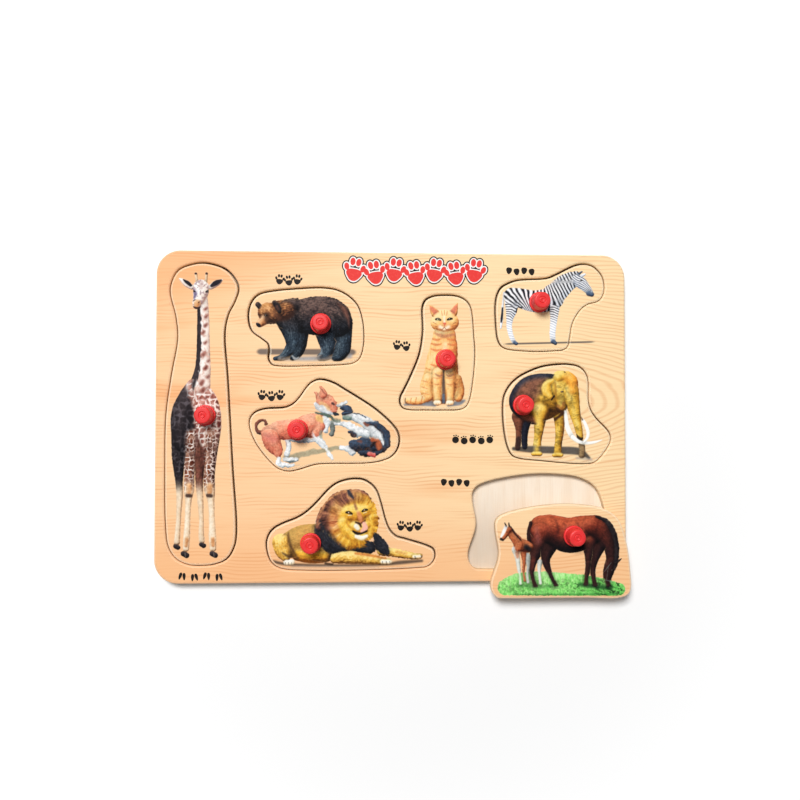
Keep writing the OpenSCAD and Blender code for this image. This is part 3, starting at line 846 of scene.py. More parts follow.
# Colours along a row of tones, from dark to light
def toned(tones, value):
    tones = np.array(tones, float)
    place = np.clip(value, 0, 1) * (len(tones) - 1)
    k = np.minimum(place.astype(int), len(tones) - 2)
    return blended(tones[k], tones[k + 1], place - k)


# Where the pictures' light comes from: right, up and towards the eye
lightFrom = (-0.3, 0.66, 0.69)
# Fur: sizes of its warp and clouds in millimetres, shares of thick, thin and cloudy tone, how far hairs bend,
# how much closer thin hairs and specks lie, roundness, and the width of the shade beside a limb
furLook = dict(warp=1.6, cloud=4.2, thick=0.6, thin=0.4, cloudy=0.22, bend=2.2, closer=(1.7, 1.9), speck=0.45,
               roundness=0.85, beside=0.7)


# A rounded, furred limb: light falls on its round section, hair runs along it,
# and where it lies on earlier paint its edge fades in over the feather width
def paintLimb(art, rows, tones, light=0.0, feather=0.8, fur=0.2, hair=(2.2, 0.42), ragged=0.2,
              contrast=1.0, pattern=None, shadow=0.25, seed=1):
    near = nearRows(art, rows, 3.0)
    if not len(near):
        return
    x, y = art["x"][near], art["y"][near]
    edge, across, up, right, run, radius = limbField(x, y, rows)
    look, (long, wide) = furLook, hair
    warp = latticeNoise(x / look["warp"], y / look["warp"], seed + 9)
    bend, (closeRun, closeSide) = look["bend"] * warp, look["closer"]
    thick = latticeNoise(run / long + bend + 17 * seed, right * radius / wide + warp, seed)
    thin = latticeNoise(closeRun * run / long - bend, closeSide * right * radius / wide, seed + 1)
    strand = look["thick"] * thick + look["thin"] * thin
    fine = latticeNoise(x / (look["speck"] * long), y / (look["speck"] * long), seed + 3)
    cloud = latticeNoise(x / look["cloud"], y / look["cloud"], seed + 7)
    edge = edge + ragged * (strand + fine - 1)
    depth = np.sqrt(np.clip(1 - look["roundness"] * (across ** 2 + up ** 2), 0.02, 1))
    lit = across * lightFrom[0] + up * lightFrom[1] + depth * lightFrom[2]
    value = 0.5 + contrast * (lit - 0.5) + light + fur * (1.3 * strand + 0.7 * fine - 1)
    value = value + look["cloudy"] * (cloud - 0.5)
    colour = toned(tones, value)
    if pattern:
        colour = pattern(colour, x, y, run, right, value)
    ink = art["ink"][near]
    beside = shadow * np.exp(-np.maximum(edge, 0) / look["beside"]) * eased(edge, -0.6, 0.4) * ink
    art["colour"][near] *= 1 - beside[:, None]
    cover, within = eased(-edge, -0.2, 0.2), eased(-edge, -0.2, feather)
    layPaint(art, near, colour, cover * (1 - ink * (1 - within)))


# A flat mark: one colour along a line of rows, soft at its edge, and kept to the paint unless it is loose
def paintMark(art, rows, colour, strength=1.0, soft=0.3, loose=False):
    near = nearRows(art, rows, soft + 1)
    if not len(near):
        return
    share = strength * eased(-limbField(art["x"][near], art["y"][near], rows)[0], -soft, soft)
    if loose:
        layPaint(art, near, colour, share)
    else:
        art["colour"][near] = blended(art["colour"][near], colour, share * art["ink"][near])


# Short marks of one width and colour, thinner towards their ends
def paintMarks(art, lines, width, colour, strength=0.9, soft=0.22, taper=0.5):
    for line in lines:
        share = np.abs(np.linspace(-1, 1, len(line)))
        rows = [(x, y, width * (1 - taper * s)) for (x, y), s in zip(line, share)]
        paintMark(art, rows, colour, strength, soft)


def paintEye(art, x, y, size, iris=(40, 28, 20), lid=(30, 22, 20), tilt=0.0):
    paintMark(art, [(x - size, y - tilt, 0.42 * size), (x, y + 0.2 * size, 0.62 * size),
                    (x + size, y + tilt, 0.42 * size)], lid, 0.9, 0.16)
    paintMark(art, [(x, y, 0.5 * size)], iris, 1.0, 0.12)
    paintMark(art, [(x - 0.2 * size, y + 0.25 * size, 0.16 * size)], (240, 240, 240), 0.9, 0.1)


# A limb that casts no shade on the paint below
paintGlaze = partial(paintLimb, shadow=0)


# Brushes held to one picture
def held(art, *brushes):
    return [partial(brush, art) for brush in brushes]


# Bear: grey-brown coat that turns slate blue towards the ground
bearLook = dict(
    slate=((10, 14, 19), (27, 37, 48), (46, 62, 76), (82, 102, 114)),
    coat=((14, 12, 15), (36, 31, 33), (64, 53, 52), (114, 92, 84)),
    rust=((50, 32, 30), (92, 60, 52), (136, 92, 76)),
    face=((50, 30, 24), (120, 74, 48), (190, 128, 78), (236, 186, 130)),
    muzzle=((104, 58, 36), (180, 114, 70), (222, 162, 112), (242, 200, 156)))


def slateBelow(colour, x, y, run, right, value):
    return blended(colour, toned(bearLook["slate"], value + 0.06), 0.9 * eased(-y, -67, -48))


def paintBear(art):
    limb, glaze, mark, eye = held(art, paintLimb, paintGlaze, paintMark, paintEye)
    _, coat, rust, face, muzzle = bearLook.values()
    mark([(-72, 36.4, 0.9), (-48, 37, 1.6), (-28, 38.4, 1.4)], (132, 148, 164), 0.75, 1.4, True)
    shaggy = dict(tones=coat, pattern=slateBelow, fur=0.5, hair=(1.6, 0.5))
    limb([(-60, 57, 6.4), (-59, 50, 4.4), (-59.4, 44, 3.6), (-61.6, 39, 2.7), (-64.5, 37, 1.8)], light=-0.26,
         **shaggy)
    limb([(-34, 57, 7.6), (-31.8, 49, 5), (-32.8, 43, 5.2), (-34.4, 39.4, 4.2), (-37.4, 37.4, 2.4)],
         light=-0.04, **shaggy)
    limb([(-67, 64.5, 9.6), (-60, 63.5, 10.6), (-50, 64, 12.4), (-41, 63, 12.6), (-36, 60, 9.8)], ragged=0.5,
         light=-0.1, **shaggy)
    glaze([(-36, 72, 1.4), (-31.6, 68, 2.8), (-29.2, 62, 2), (-28.4, 56, 1)], rust, -0.08, feather=2.6,
          fur=0.4)
    glaze([(-68, 70, 4.4), (-63, 70.4, 5)], coat, -0.16, feather=3.5, fur=0.35, ragged=0.6)
    limb([(-43, 57, 8.4), (-42.4, 49.5, 6.2), (-41.6, 43.5, 5), (-43, 39.4, 3.8), (-46.6, 37.6, 2.5)],
         feather=3.2, light=-0.08, shadow=0.3, **shaggy)
    limb([(-67, 61.5, 8), (-64.6, 53, 6), (-63.6, 46, 4.9), (-66.8, 40.4, 3.7), (-71, 37.4, 2.2),
          (-75.4, 36.6, 1.3)], feather=3.2, light=-0.12, shadow=0.3, **shaggy)
    mark([(-64.6, 38.6, 0.3), (-62.4, 36.4, 0.9), (-60.4, 37.6, 0.3)], (206, 208, 206), 0.75, 0.5)
    mark([(-46.4, 44, 0.3), (-46.2, 41, 0.7), (-47.6, 38.6, 0.4)], (196, 204, 208), 0.5, 0.7)
    glaze([(-77.5, 65.4, 6), (-73, 66, 7.4), (-68.6, 67, 7)], face, -0.34, feather=3.0, fur=0.5, ragged=0.6)
    limb([(-86.3, 70.9, 1.7), (-85.2, 69.6, 1.8)], coat, -0.1, fur=0.3)
    limb([(-80, 66, 6.4), (-78, 64.6, 6.2)], face, -0.16, feather=1.6, fur=0.5, ragged=0.45)
    mark([(-83, 70.2, 0.9), (-80, 71, 1), (-77, 71.2, 0.7)], (214, 144, 80), 0.6, 0.9)
    limb([(-75.8, 72, 1.8), (-74.2, 70.2, 2.4), (-72.6, 66.8, 1.8)], coat, -0.2, feather=1.0, fur=0.3)
    mark([(-74.4, 69.8, 0.9), (-73.6, 68, 0.8)], (104, 66, 54), 0.6, 0.6)
    limb([(-82.4, 61.4, 3.6), (-84, 59.8, 2.8), (-85.2, 58.6, 2.3)], muzzle, -0.06, feather=1.8, fur=0.22,
         shadow=0.15)
    mark([(-80.8, 64.2, 1.8), (-79.6, 60.6, 2), (-77, 58.6, 1.2)], (50, 32, 28), 0.8, 1.3)
    mark([(-85.4, 65.2, 0.8), (-84.8, 63.2, 0.8)], (88, 52, 34), 0.65, 0.8)
    mark([(-76.4, 66.6, 0.9), (-73, 62.4, 1.2)], (96, 58, 42), 0.6, 1.0)
    eye(-81.2, 64.0, 0.8)
    eye(-85.1, 64.3, 0.55)
    mark([(-86.7, 58.4, 1), (-85.7, 57.6, 1.3)], (24, 22, 30), 1.0, 0.25)
    mark([(-86.6, 58.9, 0.3)], (150, 146, 152), 0.6)
    mark([(-85.4, 56.4, 0.3), (-83, 56.4, 0.3), (-79.6, 57.6, 0.3)], (62, 34, 28), 0.9, 0.25)


# Cat: pale ginger with faint bands
catLook = dict(
    coat=((146, 76, 38), (222, 146, 80), (248, 196, 122), (255, 226, 168)),
    pale=((214, 158, 108), (250, 214, 164), (255, 238, 206), (255, 248, 230)), band=(206, 108, 62),
    dark=(110, 74, 60), blue=(96, 118, 142), ear=(232, 130, 100))


def paintCat(art):
    limb, glaze, mark, marks, eye = held(art, paintLimb, paintGlaze, paintMark, paintMarks, paintEye)
    coat, pale, band, dark, blue, ear = catLook.values()
    mark([(7, 7.6, 0.6), (21, 8.6, 1.8), (26, 8, 1.6)], blue, 0.85, 0.8, True)
    mark([(35, 7.4, 1), (42, 9, 1.6), (45.4, 10.4, 0.6)], blue, 0.85, 0.8, True)
    limb([(22, 12.4, 3), (16.4, 10.2, 2.7), (11.6, 9.8, 2.3), (9, 10.4, 1.8)], coat, fur=0.3, ragged=0.4)
    marks([[(18.4, 13), (17.4, 9)], [(14.6, 12.6), (13.8, 8.6)], [(11.2, 11.8), (10.6, 8.4)]], 0.6, band,
          0.6)
    mark([(7.4, 11.8, 0.3), (7.4, 9, 0.45), (9.4, 7.8, 0.3)], dark, 0.8, 0.3, True)
    limb([(40.6, 24, 3.2), (42, 16.5, 3.4), (41.4, 12, 2.8)], coat, -0.16, fur=0.3)
    limb([(32.4, 52, 7.2), (32, 44, 8.8), (31, 36, 10), (30.4, 28, 11), (30.2, 22, 11.6),
          (30.6, 18.4, 10.4)], coat, 0.02, fur=0.24, ragged=0.35, feather=2.5)
    limb([(22.2, 24, 4.2), (21.2, 17.4, 4.6), (22.6, 13, 3.4)], coat, 0.02, feather=2.4, fur=0.26,
         shadow=0.15)
    glaze([(33, 46, 4.2), (32.4, 38, 4.6), (31.8, 31, 3.6)], pale, -0.06, feather=8.0, fur=0.24)
    mark([(31.8, 29, 0.7), (31.9, 20, 1), (31.9, 9.6, 0.7)], (104, 84, 78), 0.9, 0.7)
    mark([(31.8, 14, 0.8), (31.9, 9.4, 1)], blue, 0.8, 0.6)
    for leg, side in ((27.9, -1), (35.9, 1)):
        limb([(leg - 0.3 * side, 28, 3.7), (leg, 21, 3.2), (leg + 0.2 * side, 14, 2.7), (leg, 9.8, 2.8)],
             coat, 0.1, feather=1.4, shadow=0.22)
        limb([(leg - 1.1, 8.9, 1.7), (leg + 1.1, 8.9, 1.7)], pale, 0.02, fur=0.15)
        marks([[(leg + k, 8.4), (leg + k, 7.4)] for k in (-0.8, 0.8)], 0.22, dark, 0.7)
        marks([[(leg - 2.4, h), (leg, h - 0.5), (leg + 2.4, h)] for h in (25, 21)], 0.5, band, 0.4)
    middle = 32.5
    for side in (-1, 1):
        marks([[(middle + 8.8 * side, h), (middle + 5.4 * side, h - 1),
                (middle + 2.2 * side, h - 0.4)] for h in (50.2, 47, 43.4, 33.4)], 0.75, band, 0.62, 0.4)
        marks([[(middle + 6 * side, 27.4), (middle + 3.4 * side, 26), (middle + 1.2 * side, 26.8)]], 0.7,
              (168, 104, 84), 0.6, 0.4)
    marks([[(18.6, 23), (21.6, 22)], [(18, 19), (21.2, 18)], [(19, 15), (22, 14.2)], [(43.4, 20), (41, 19)],
           [(20.6, 31), (23.4, 30)]], 0.62, band, 0.55, 0.4)
    mark([(26.4, 53.4, 0.5), (29.4, 52.2, 1), (33, 51.6, 1.2), (39.6, 53, 0.6)], (176, 112, 84), 0.7, 0.8)
    for tip, base in (((23.1, 71.4), (26.6, 66.2)), ((40.6, 72.8), (38, 66.6))):
        half = ((tip[0] + base[0]) / 2, (tip[1] + base[1]) / 2)
        limb([(*base, 2.8), (*half, 1.8), (*tip, 0.45)], coat, -0.04)
        mark([(base[0], base[1] + 0.8, 1.7), (*half, 1.3),
              (tip[0] * 0.85 + half[0] * 0.15, tip[1] - 0.9, 0.4)], ear, 0.9, 0.5)
    limb([(29.2, 60.6, 5.8), (32.5, 61.3, 7.4), (35.7, 60.6, 6)], coat, 0.08, feather=1.4, fur=0.24,
         ragged=0.3)
    glaze([(29.8, 57.4, 2.3), (32.4, 56.2, 2.2), (35, 57.4, 2.3)], pale, feather=2.4, fur=0.16)
    glaze([(32.4, 63.6, 1.3), (32.5, 60.6, 1.2)], pale, feather=1.2, fur=0.12)
    marks([[(30.6, 67.8), (31, 65)], [(32.4, 68.2), (32.4, 65.6)], [(34.2, 67.8), (33.9, 65)]], 0.42, band,
          0.7)
    marks([[(25, 60.6), (27.2, 59.4)], [(25.6, 58.2), (27.8, 57.8)], [(39.8, 60.6), (37.8, 59.4)],
           [(39.2, 58.2), (37.2, 57.8)]], 0.4, (170, 98, 66), 0.75)
    eye(28.4, 62.2, 1.5, (176, 168, 118), (52, 40, 32), -0.2)
    mark([(28.6, 62.3, 0.4)], (30, 26, 22), 0.9, 0.2)
    eye(35.9, 62.5, 1.4, (64, 54, 28), (22, 18, 16), 0.3)
    mark([(31.8, 59.8, 0.5), (33.2, 59.8, 0.5), (32.5, 58.9, 0.5)], (232, 120, 92), 1.0, 0.25)
    marks([[(32.4, 58.8), (32.3, 57.4)], [(32.3, 57.4), (31, 56), (29.2, 56.2)],
           [(32.3, 57.4), (33.6, 56), (35.4, 56.2)]], 0.26, (158, 84, 62), 0.9, 0.2)


# Zebra: bands by a wave that counts them
zebraLook = dict(
    white=((132, 146, 170), (208, 218, 230), (246, 248, 251), (255, 255, 255)),
    hoof=((24, 32, 48), (58, 74, 98), (112, 130, 154)), black=(12, 13, 20), blue=(104, 124, 156),
    cheek=(30, 40, 60))


def banded(wave, share=0.5, dark=zebraLook["black"], depth=1.0):
    def pattern(colour, x, y, run, right, value):
        phase = wave(x, y, run, right) + 0.3 * (latticeNoise(x / 3.1, y / 3.1, 41) - 0.5)
        band = np.abs(2 * (phase - np.floor(phase)) - 1)
        black = np.array(dark) + np.outer(np.clip(value - 0.45, 0, 1), (26, 28, 36))
        return blended(colour, black, depth * eased(band, 0.88 - share, 1.12 - share))
    return pattern


# Bands upright along the body, fanned out towards the rump and square to the neck past the shoulder
def coatWave(x, y, run, right):
    turn = np.clip(np.arctan2(y - 64, x - 90) - np.pi / 2, 0, np.pi)
    body = np.where(x > 90, (x - 90) / 2.6, -4.6 * turn - 1.9 * turn * turn)
    along = (x - 101) * 0.9 + (y - 78) * 0.43
    return body + (4.4 + along / 2.0 - body) * eased(along, -4, 5)


# Bands round a leg, black at the thigh and faint below it
def legBands(colour, x, y, run, right, value):
    def wave(x, y, run, right):
        return run / 1.6 + 0.4 * right
    thigh = banded(wave, 0.44, depth=0.9)(colour, x, y, run, right, value)
    shank = banded(wave, 0.3, zebraLook["blue"], 0.42)(colour, x, y, run, right, value)
    return blended(shank, thigh, eased(y, 58, 69))


def paintZebra(art):
    limb, glaze, mark, eye = held(art, paintLimb, paintGlaze, paintMark, paintEye)
    white, hoof, black, _, cheek = zebraLook.values()
    limb([(71, 80, 0.6), (70.2, 73, 0.6), (69.8, 67, 0.8), (69.3, 62, 0.9), (68.8, 57, 0.5)], white)
    mark([(69.9, 70, 0.5), (69.5, 65, 0.8), (69.1, 61, 0.5)], black, 0.9)
    rump = banded(coatWave)
    limb([(76.2, 77.6, 5.6), (82, 76.4, 6.4), (90, 74.6, 7), (97, 75, 7.4), (103, 76.8, 7.2)], white, 0.24,
         pattern=rump, fur=0.08, ragged=0.1, contrast=0.5)
    limb([(76, 74, 4.6), (75.8, 68.6, 3.6), (74.6, 63, 2.2), (74.4, 57, 1.7), (75.6, 52, 1.5),
          (77.2, 48.6, 1.4)], white, 0.24, pattern=legBands, feather=3.6, fur=0.08, contrast=0.6)
    glaze([(76, 77.4, 4.2), (76.4, 73, 3)], white, 0.24, pattern=rump, feather=3.0, fur=0.08, contrast=0.5)
    limb([(103.6, 72.4, 3.8), (103.6, 66, 2.7), (103, 60, 2.1), (102.4, 54, 1.9), (102.6, 49.8, 1.7)], white,
         0.24, pattern=legBands, feather=2.2, fur=0.08, contrast=0.6)
    limb([(77.6, 48, 1.3), (78.8, 47.2, 1.2)], hoof, fur=0.1)
    limb([(102.6, 48.8, 1.5), (104.2, 47.6, 1.3)], hoof, fur=0.1)
    limb([(101.6, 84.4, 1.4), (107, 89, 1.7), (113, 92, 1.5), (118.6, 93.2, 1.2)], white, 0.1, pattern=rump,
         ragged=0.4)
    glaze([(103, 78.6, 7.4), (107.4, 82.2, 6.4), (112, 86, 5.4), (117, 89, 4.5)], white, 0.18, pattern=rump,
          feather=3.2, fur=0.08, contrast=0.5)
    limb([(119.4, 92.4, 0.9), (121.8, 94, 0.5)], hoof, fur=0.1)
    limb([(121.6, 91.4, 1.1), (123.6, 92.4, 0.7)], white, fur=0.1)
    face = banded(lambda x, y, run, right: right * 2.9 + 0.16 * run, 0.46, cheek, 0.85)
    limb([(118.4, 88.8, 3.9), (121.6, 86.4, 3.7), (124.8, 83.2, 2.8), (127, 80.8, 2.1)], white, 0.16,
         pattern=face, feather=1.0, fur=0.1, shadow=0.15, contrast=0.7)
    limb([(126.2, 80.2, 2), (128.2, 79.4, 1.7)], hoof, 0.06, feather=1.0, fur=0.1)
    eye(121.4, 88.2, 0.6)
    mark([(79.6, 67, 0.7), (80, 69.2, 1.1), (82, 70.2, 0.8)], black, 0.85, 0.4)


# Dogs: a red one with white feet stands, a black and white one lies on its back
dogLook = dict(
    red=((138, 60, 46), (208, 114, 88), (236, 154, 122), (250, 194, 160)),
    white=((140, 152, 160), (214, 222, 224), (250, 252, 251), (255, 255, 255)),
    black=((12, 14, 22), (32, 42, 58), (66, 82, 104)), tan=((84, 38, 24), (158, 78, 48), (204, 116, 76)),
    tail=((50, 30, 28), (112, 64, 52), (170, 104, 84)), ash=((52, 58, 58), (98, 106, 102), (150, 156, 148)),
    moss=((60, 86, 84), (118, 140, 132), (170, 184, 172)),
    tongue=((156, 44, 44), (212, 84, 76), (236, 140, 126)), grey=(160, 170, 178), fleck=(112, 74, 62))


# Flecks of short hair over all that is painted: grey on white, brown on black, dark on red
def fleckDogs(art):
    x, y, level = art["x"], art["y"], art["colour"].mean(1)
    drift = 1.4 * latticeNoise(x / 1.5, y / 1.5, 93)
    broad = eased(latticeNoise(x / 1.5 + drift, y / 1.3 - drift, 94), 0.4, 0.8)
    fine = eased(latticeNoise(x / 0.6 + drift, y / 0.6, 95), 0.35, 0.85)
    fleck = 0.6 * broad + 0.4 * fine
    art["colour"][:] = blended(art["colour"], dogLook["grey"], 0.44 * fleck * eased(level, 190, 244))
    art["colour"][:] = blended(art["colour"], dogLook["fleck"], 0.6 * fleck * eased(level, 84, 40))
    art["colour"][:] *= (1 - 0.07 * fleck * eased(level, 84, 110))[:, None]


def paintDogs(art):
    x, y = art["x"], art["y"]
    wave = [latticeNoise(x / 3.4, y / 3.4, seed) + 0.4 * latticeNoise(x, y, seed + 2) for seed in (97, 98)]
    art = dict(art, x=x + 1.5 * (wave[0] - 0.7), y=y + 1.5 * (wave[1] - 0.7))
    limb, glaze, mark, eye = held(art, paintLimb, paintGlaze, paintMark, paintEye)
    red, white, black, tan, tail, ash, moss, tongue, *_ = dogLook.values()
    mark([(-68, -26.4, 1.6), (-57, -24, 1.8), (-45, -21.6, 1.7), (-35, -20, 1.4)], (158, 158, 132), 0.82,
         0.7, True)
    mark([(-66, -31.4, 0.3), (-60, -31, 0.4)], (160, 168, 166), 0.5, 0.7, True)
    limb([(-82, -10.4, 1.5), (-86, -9.6, 1.4), (-87, -6.4, 1.1), (-85.4, -3.2, 1), (-82.4, -2.4, 0.9),
          (-80.4, -4.6, 0.8)], tail, -0.1)
    limb([(-66, -14.4, 1.7), (-58, -14.6, 1.6), (-50, -15, 1.1)], white, -0.2, fur=0.24, ragged=0.4)
    limb([(-67.6, -16, 1.6), (-66.6, -20, 1.5), (-67.4, -24.4, 1.6)], white, -0.1, fur=0.24, ragged=0.4)
    limb([(-68.6, -27, 1.5), (-65, -27.6, 1.7), (-61.4, -26.8, 1.2)], white, -0.06, ragged=0.4)
    mark([(-69, -28.2, 0.3), (-64.6, -29, 0.45), (-60.2, -27.4, 0.3)], (74, 96, 104), 0.85, 0.3, True)
    limb([(-78, -11, 5.8), (-70, -8.8, 6.2), (-62, -7.8, 6.6), (-54, -5.8, 7.4), (-51, -5.4, 7.6)], red,
         fur=0.3, contrast=0.75, ragged=0.15)
    limb([(-78.6, -12.6, 5.2), (-76, -17.4, 4.8), (-73.2, -22, 3.4), (-72.6, -25.4, 1.6)], red, -0.04,
         feather=2.4, fur=0.3, contrast=0.75)
    mark([(-80, -13, 2), (-76, -14.4, 2.4)], (206, 106, 104), 0.45, 2.0)
    mark([(-70.6, -13.4, 0.3), (-68.6, -17, 0.5), (-69.4, -22, 0.3)], (120, 60, 54), 0.6, 0.5)
    limb([(-72.4, -27, 1.5), (-72.4, -30, 1.7), (-67, -31, 1.4), (-63.4, -30.6, 1)], white, 0.06,
         feather=0.7, ragged=0.4)
    limb([(-49.4, -11.4, 3.4), (-46, -16, 2.2), (-42.8, -21, 1.6), (-40.4, -25, 1.5), (-38.8, -26.6, 1.2)],
         white, 0.06, feather=1.8, ragged=0.4)
    glaze([(-48.6, -9.6, 3.4), (-46.4, -5, 3.4), (-47.4, -1, 2.6)], red, 0.06, feather=1.6, fur=0.3,
          contrast=0.75)
    limb([(-44, -1.6, 1.9), (-42, -5, 1.7), (-43.4, -9.4, 1.4)], white, 0.04, feather=0.9, ragged=0.4,
         shadow=0.12)
    mark([(-48.4, -0.4, 1.4), (-45.6, -2.6, 1.2)], (244, 206, 124), 0.75, 0.8)
    mark([(-46, -9.4, 0.8), (-45.6, -13, 0.8)], (142, 152, 132), 0.7, 0.6, True)
    limb([(-35, 7.2, 1.2), (-31, 9, 1.5)], white, ragged=0.4)
    limb([(-30, 0.4, 2.6), (-24, -0.8, 3), (-18, -3.4, 3.8), (-12.6, -8.4, 4.6), (-9.6, -13, 4.2)], white,
         0.08, ragged=0.4)
    limb([(-37, -3.4, 1.7), (-31, -5, 1.9), (-24.4, -8, 2.4), (-18, -11, 2.9)], white, 0.06, ragged=0.4,
         shadow=0.3)
    glaze([(-24, -10.4, 2.2), (-17, -11.8, 2)], white, feather=1.2, ragged=0.4)
    limb([(-39.4, -4, 1.6), (-38.6, -8, 1.5), (-39.2, -11, 1.9)], ash)
    mark([(-37.4, -12.8, 0.25), (-31, -14, 0.25)], (224, 190, 120), 0.8, 0.2, True)
    mark([(-27.4, 2.4, 0.35), (-22, 1.6, 0.3), (-17.4, -0.6, 0.3)], (40, 50, 62), 0.85, 0.25, True)
    limb([(-33.4, 5.4, 1.2), (-30, 5, 2.2), (-28.2, 3.2, 1.8), (-32, 1.8, 1.6)], black, 0.08, fur=0.25)
    limb([(-31.4, -0.4, 1.6), (-28.4, -1.6, 1.5)], moss)
    limb([(-17.6, -3.8, 1.6), (-12.6, -4.8, 2.2), (-7.6, -8.4, 2.6), (-4.6, -13, 2.4), (-4, -18, 2)], black,
         0.08, feather=1.0, fur=0.25)
    mark([(-18.6, -4.2, 1), (-16.8, -5, 0.9)], (146, 84, 66), 0.85, 0.5)
    limb([(-28.2, -10.2, 1.3), (-25, -11.6, 1.3)], black, feather=0.9, fur=0.25)
    limb([(-33, -19.6, 1.6), (-29.6, -20.4, 1.9), (-26, -23, 1.8)], white, 0.06, ragged=0.4)
    limb([(-25, -18.2, 4), (-18.4, -18.6, 5), (-12, -18.6, 4.6), (-7.4, -20, 3.2)], black, 0.04, feather=1.0,
         fur=0.34, ragged=0.5)
    limb([(-20.6, -23.4, 2.4), (-13, -23.4, 2), (-8, -22.4, 1.4)], black, feather=1.2, fur=0.34, ragged=0.5)
    limb([(-13.6, -14.6, 1.9), (-10, -16.6, 2.7), (-8.8, -20, 2)], tan, feather=1.4, fur=0.3)
    glaze([(-9.6, -12, 1), (-7.4, -15, 1), (-6.6, -18, 0.6)], white, feather=0.6, ragged=0.4)
    mark([(-23, -15.6, 0.8), (-20.6, -16.2, 0.7)], (140, 80, 64), 0.75, 0.6)
    mark([(-12.4, -16.6, 1.2), (-14, -18.6, 0.9)], (22, 14, 16), 0.8, 0.5)
    limb([(-15.4, -24, 1.6), (-12.4, -24.4, 1.6)], tongue, feather=0.6, ragged=0.4)
    eye(-13, -15.8, 0.5)
    mark([(-17.6, -21.2, 1)], (10, 10, 14))
    limb([(-48.8, 7.4, 2.4), (-45.6, 5.2, 2.5), (-41.6, 3.4, 2.2), (-38.6, 2.2, 1.5)], white, 0.06,
         ragged=0.4)
    limb([(-47, 11.6, 2), (-48.6, 14, 1.1), (-50.4, 16, 0.35)], red, -0.06, ragged=0.4)
    limb([(-45.4, 11, 3.6), (-41.6, 9.6, 3.9), (-39, 7.6, 3.2), (-38.4, 4.6, 2)], red, 0.02, fur=0.3,
         contrast=0.75)
    limb([(-44.4, 14, 2.4), (-45.4, 16.8, 1.5), (-46.6, 19.6, 0.4)], red, -0.04, ragged=0.4)
    mark([(-46.4, 17.4, 0.3), (-44.6, 15.4, 0.5), (-43.2, 14.4, 0.3)], (146, 76, 66), 0.6, 0.4)
    mark([(-45.6, 9, 1.3), (-43, 6.8, 1.3), (-41, 5, 0.9)], (250, 204, 142), 0.75, 0.8)
    mark([(-39, 8.8, 0.8), (-37.6, 8, 0.7)], (66, 44, 46), 0.9, 0.45)
    mark([(-38, 2.4, 1), (-36.6, 1.2, 1.2)], (40, 52, 62), 1.0, 0.3, True)
    mark([(-49.4, 2.6, 0.5), (-45, 1.2, 1.1), (-41, -0.4, 1.2), (-38.6, -1.6, 0.9)], (64, 92, 84), 0.95,
         0.35, True)
    mark([(-38, -2, 0.9), (-34, -2.6, 0.9)], (118, 128, 112), 0.85, 0.5, True)
    fleckDogs(art)


# Elephant: ochre at the front and almost black behind
elephantLook = dict(
    hide=((78, 46, 16), (178, 124, 36), (232, 184, 70), (250, 222, 126)),
    warm=((120, 66, 22), (206, 128, 42), (242, 172, 66), (252, 208, 112)),
    rear=((16, 15, 20), (44, 32, 34), (98, 62, 52), (150, 100, 76)),
    leg=((40, 20, 18), (106, 58, 42), (156, 96, 68)), night=((8, 10, 16), (28, 30, 42), (58, 60, 72)),
    tip=((60, 44, 34), (132, 104, 72), (190, 160, 112)),
    ivory=((224, 220, 204), (250, 248, 238), (255, 255, 252)))


# Skin folds: thin dark lines that wander across a limb
def wrinkled(step, strength):
    def pattern(colour, x, y, run, right, value):
        wander = run / step + 0.9 * (latticeNoise(x / 2.6, y / 2.6, 61) - 0.5) + 0.25 * right * right
        fold = np.abs(2 * (wander - np.floor(wander)) - 1)
        patch = eased(latticeNoise(x / 3.4, y / 3.4, 67), 0.35, 0.7)
        drift = 1.6 * latticeNoise(x / 1.9, y / 1.9, 73)
        stainAndShade = 0.26 * eased(latticeNoise(x / 2.7 + drift, y / 2.3 - drift, 75), 0.4, 0.95)
        crease = strength * patch * eased(fold, 0.72, 0.98) * eased(run, 0.6, 3)
        return colour * ((1 - crease) * (1 - stainAndShade))[:, None]
    return pattern


# Flank: black along the back, brown within, ochre towards the shoulder
def elephantFlank(colour, x, y, run, right, value):
    stray = 5 * (latticeNoise(x / 4, y / 4, 71) - 0.5)
    rim = np.hypot((x - 95) / 21, (y - 8) / 20)
    colour = blended(colour, toned(elephantLook["night"], value), eased(rim, 0.74, 0.96))
    front = toned(elephantLook["hide"], value - 0.04)
    colour = blended(colour, front, eased(x + stray + 0.55 * (12 - y), 87, 97) * eased(rim, 0.95, 0.8))
    return wrinkled(2.1, 0.22)(colour, x, y, run, right, value)


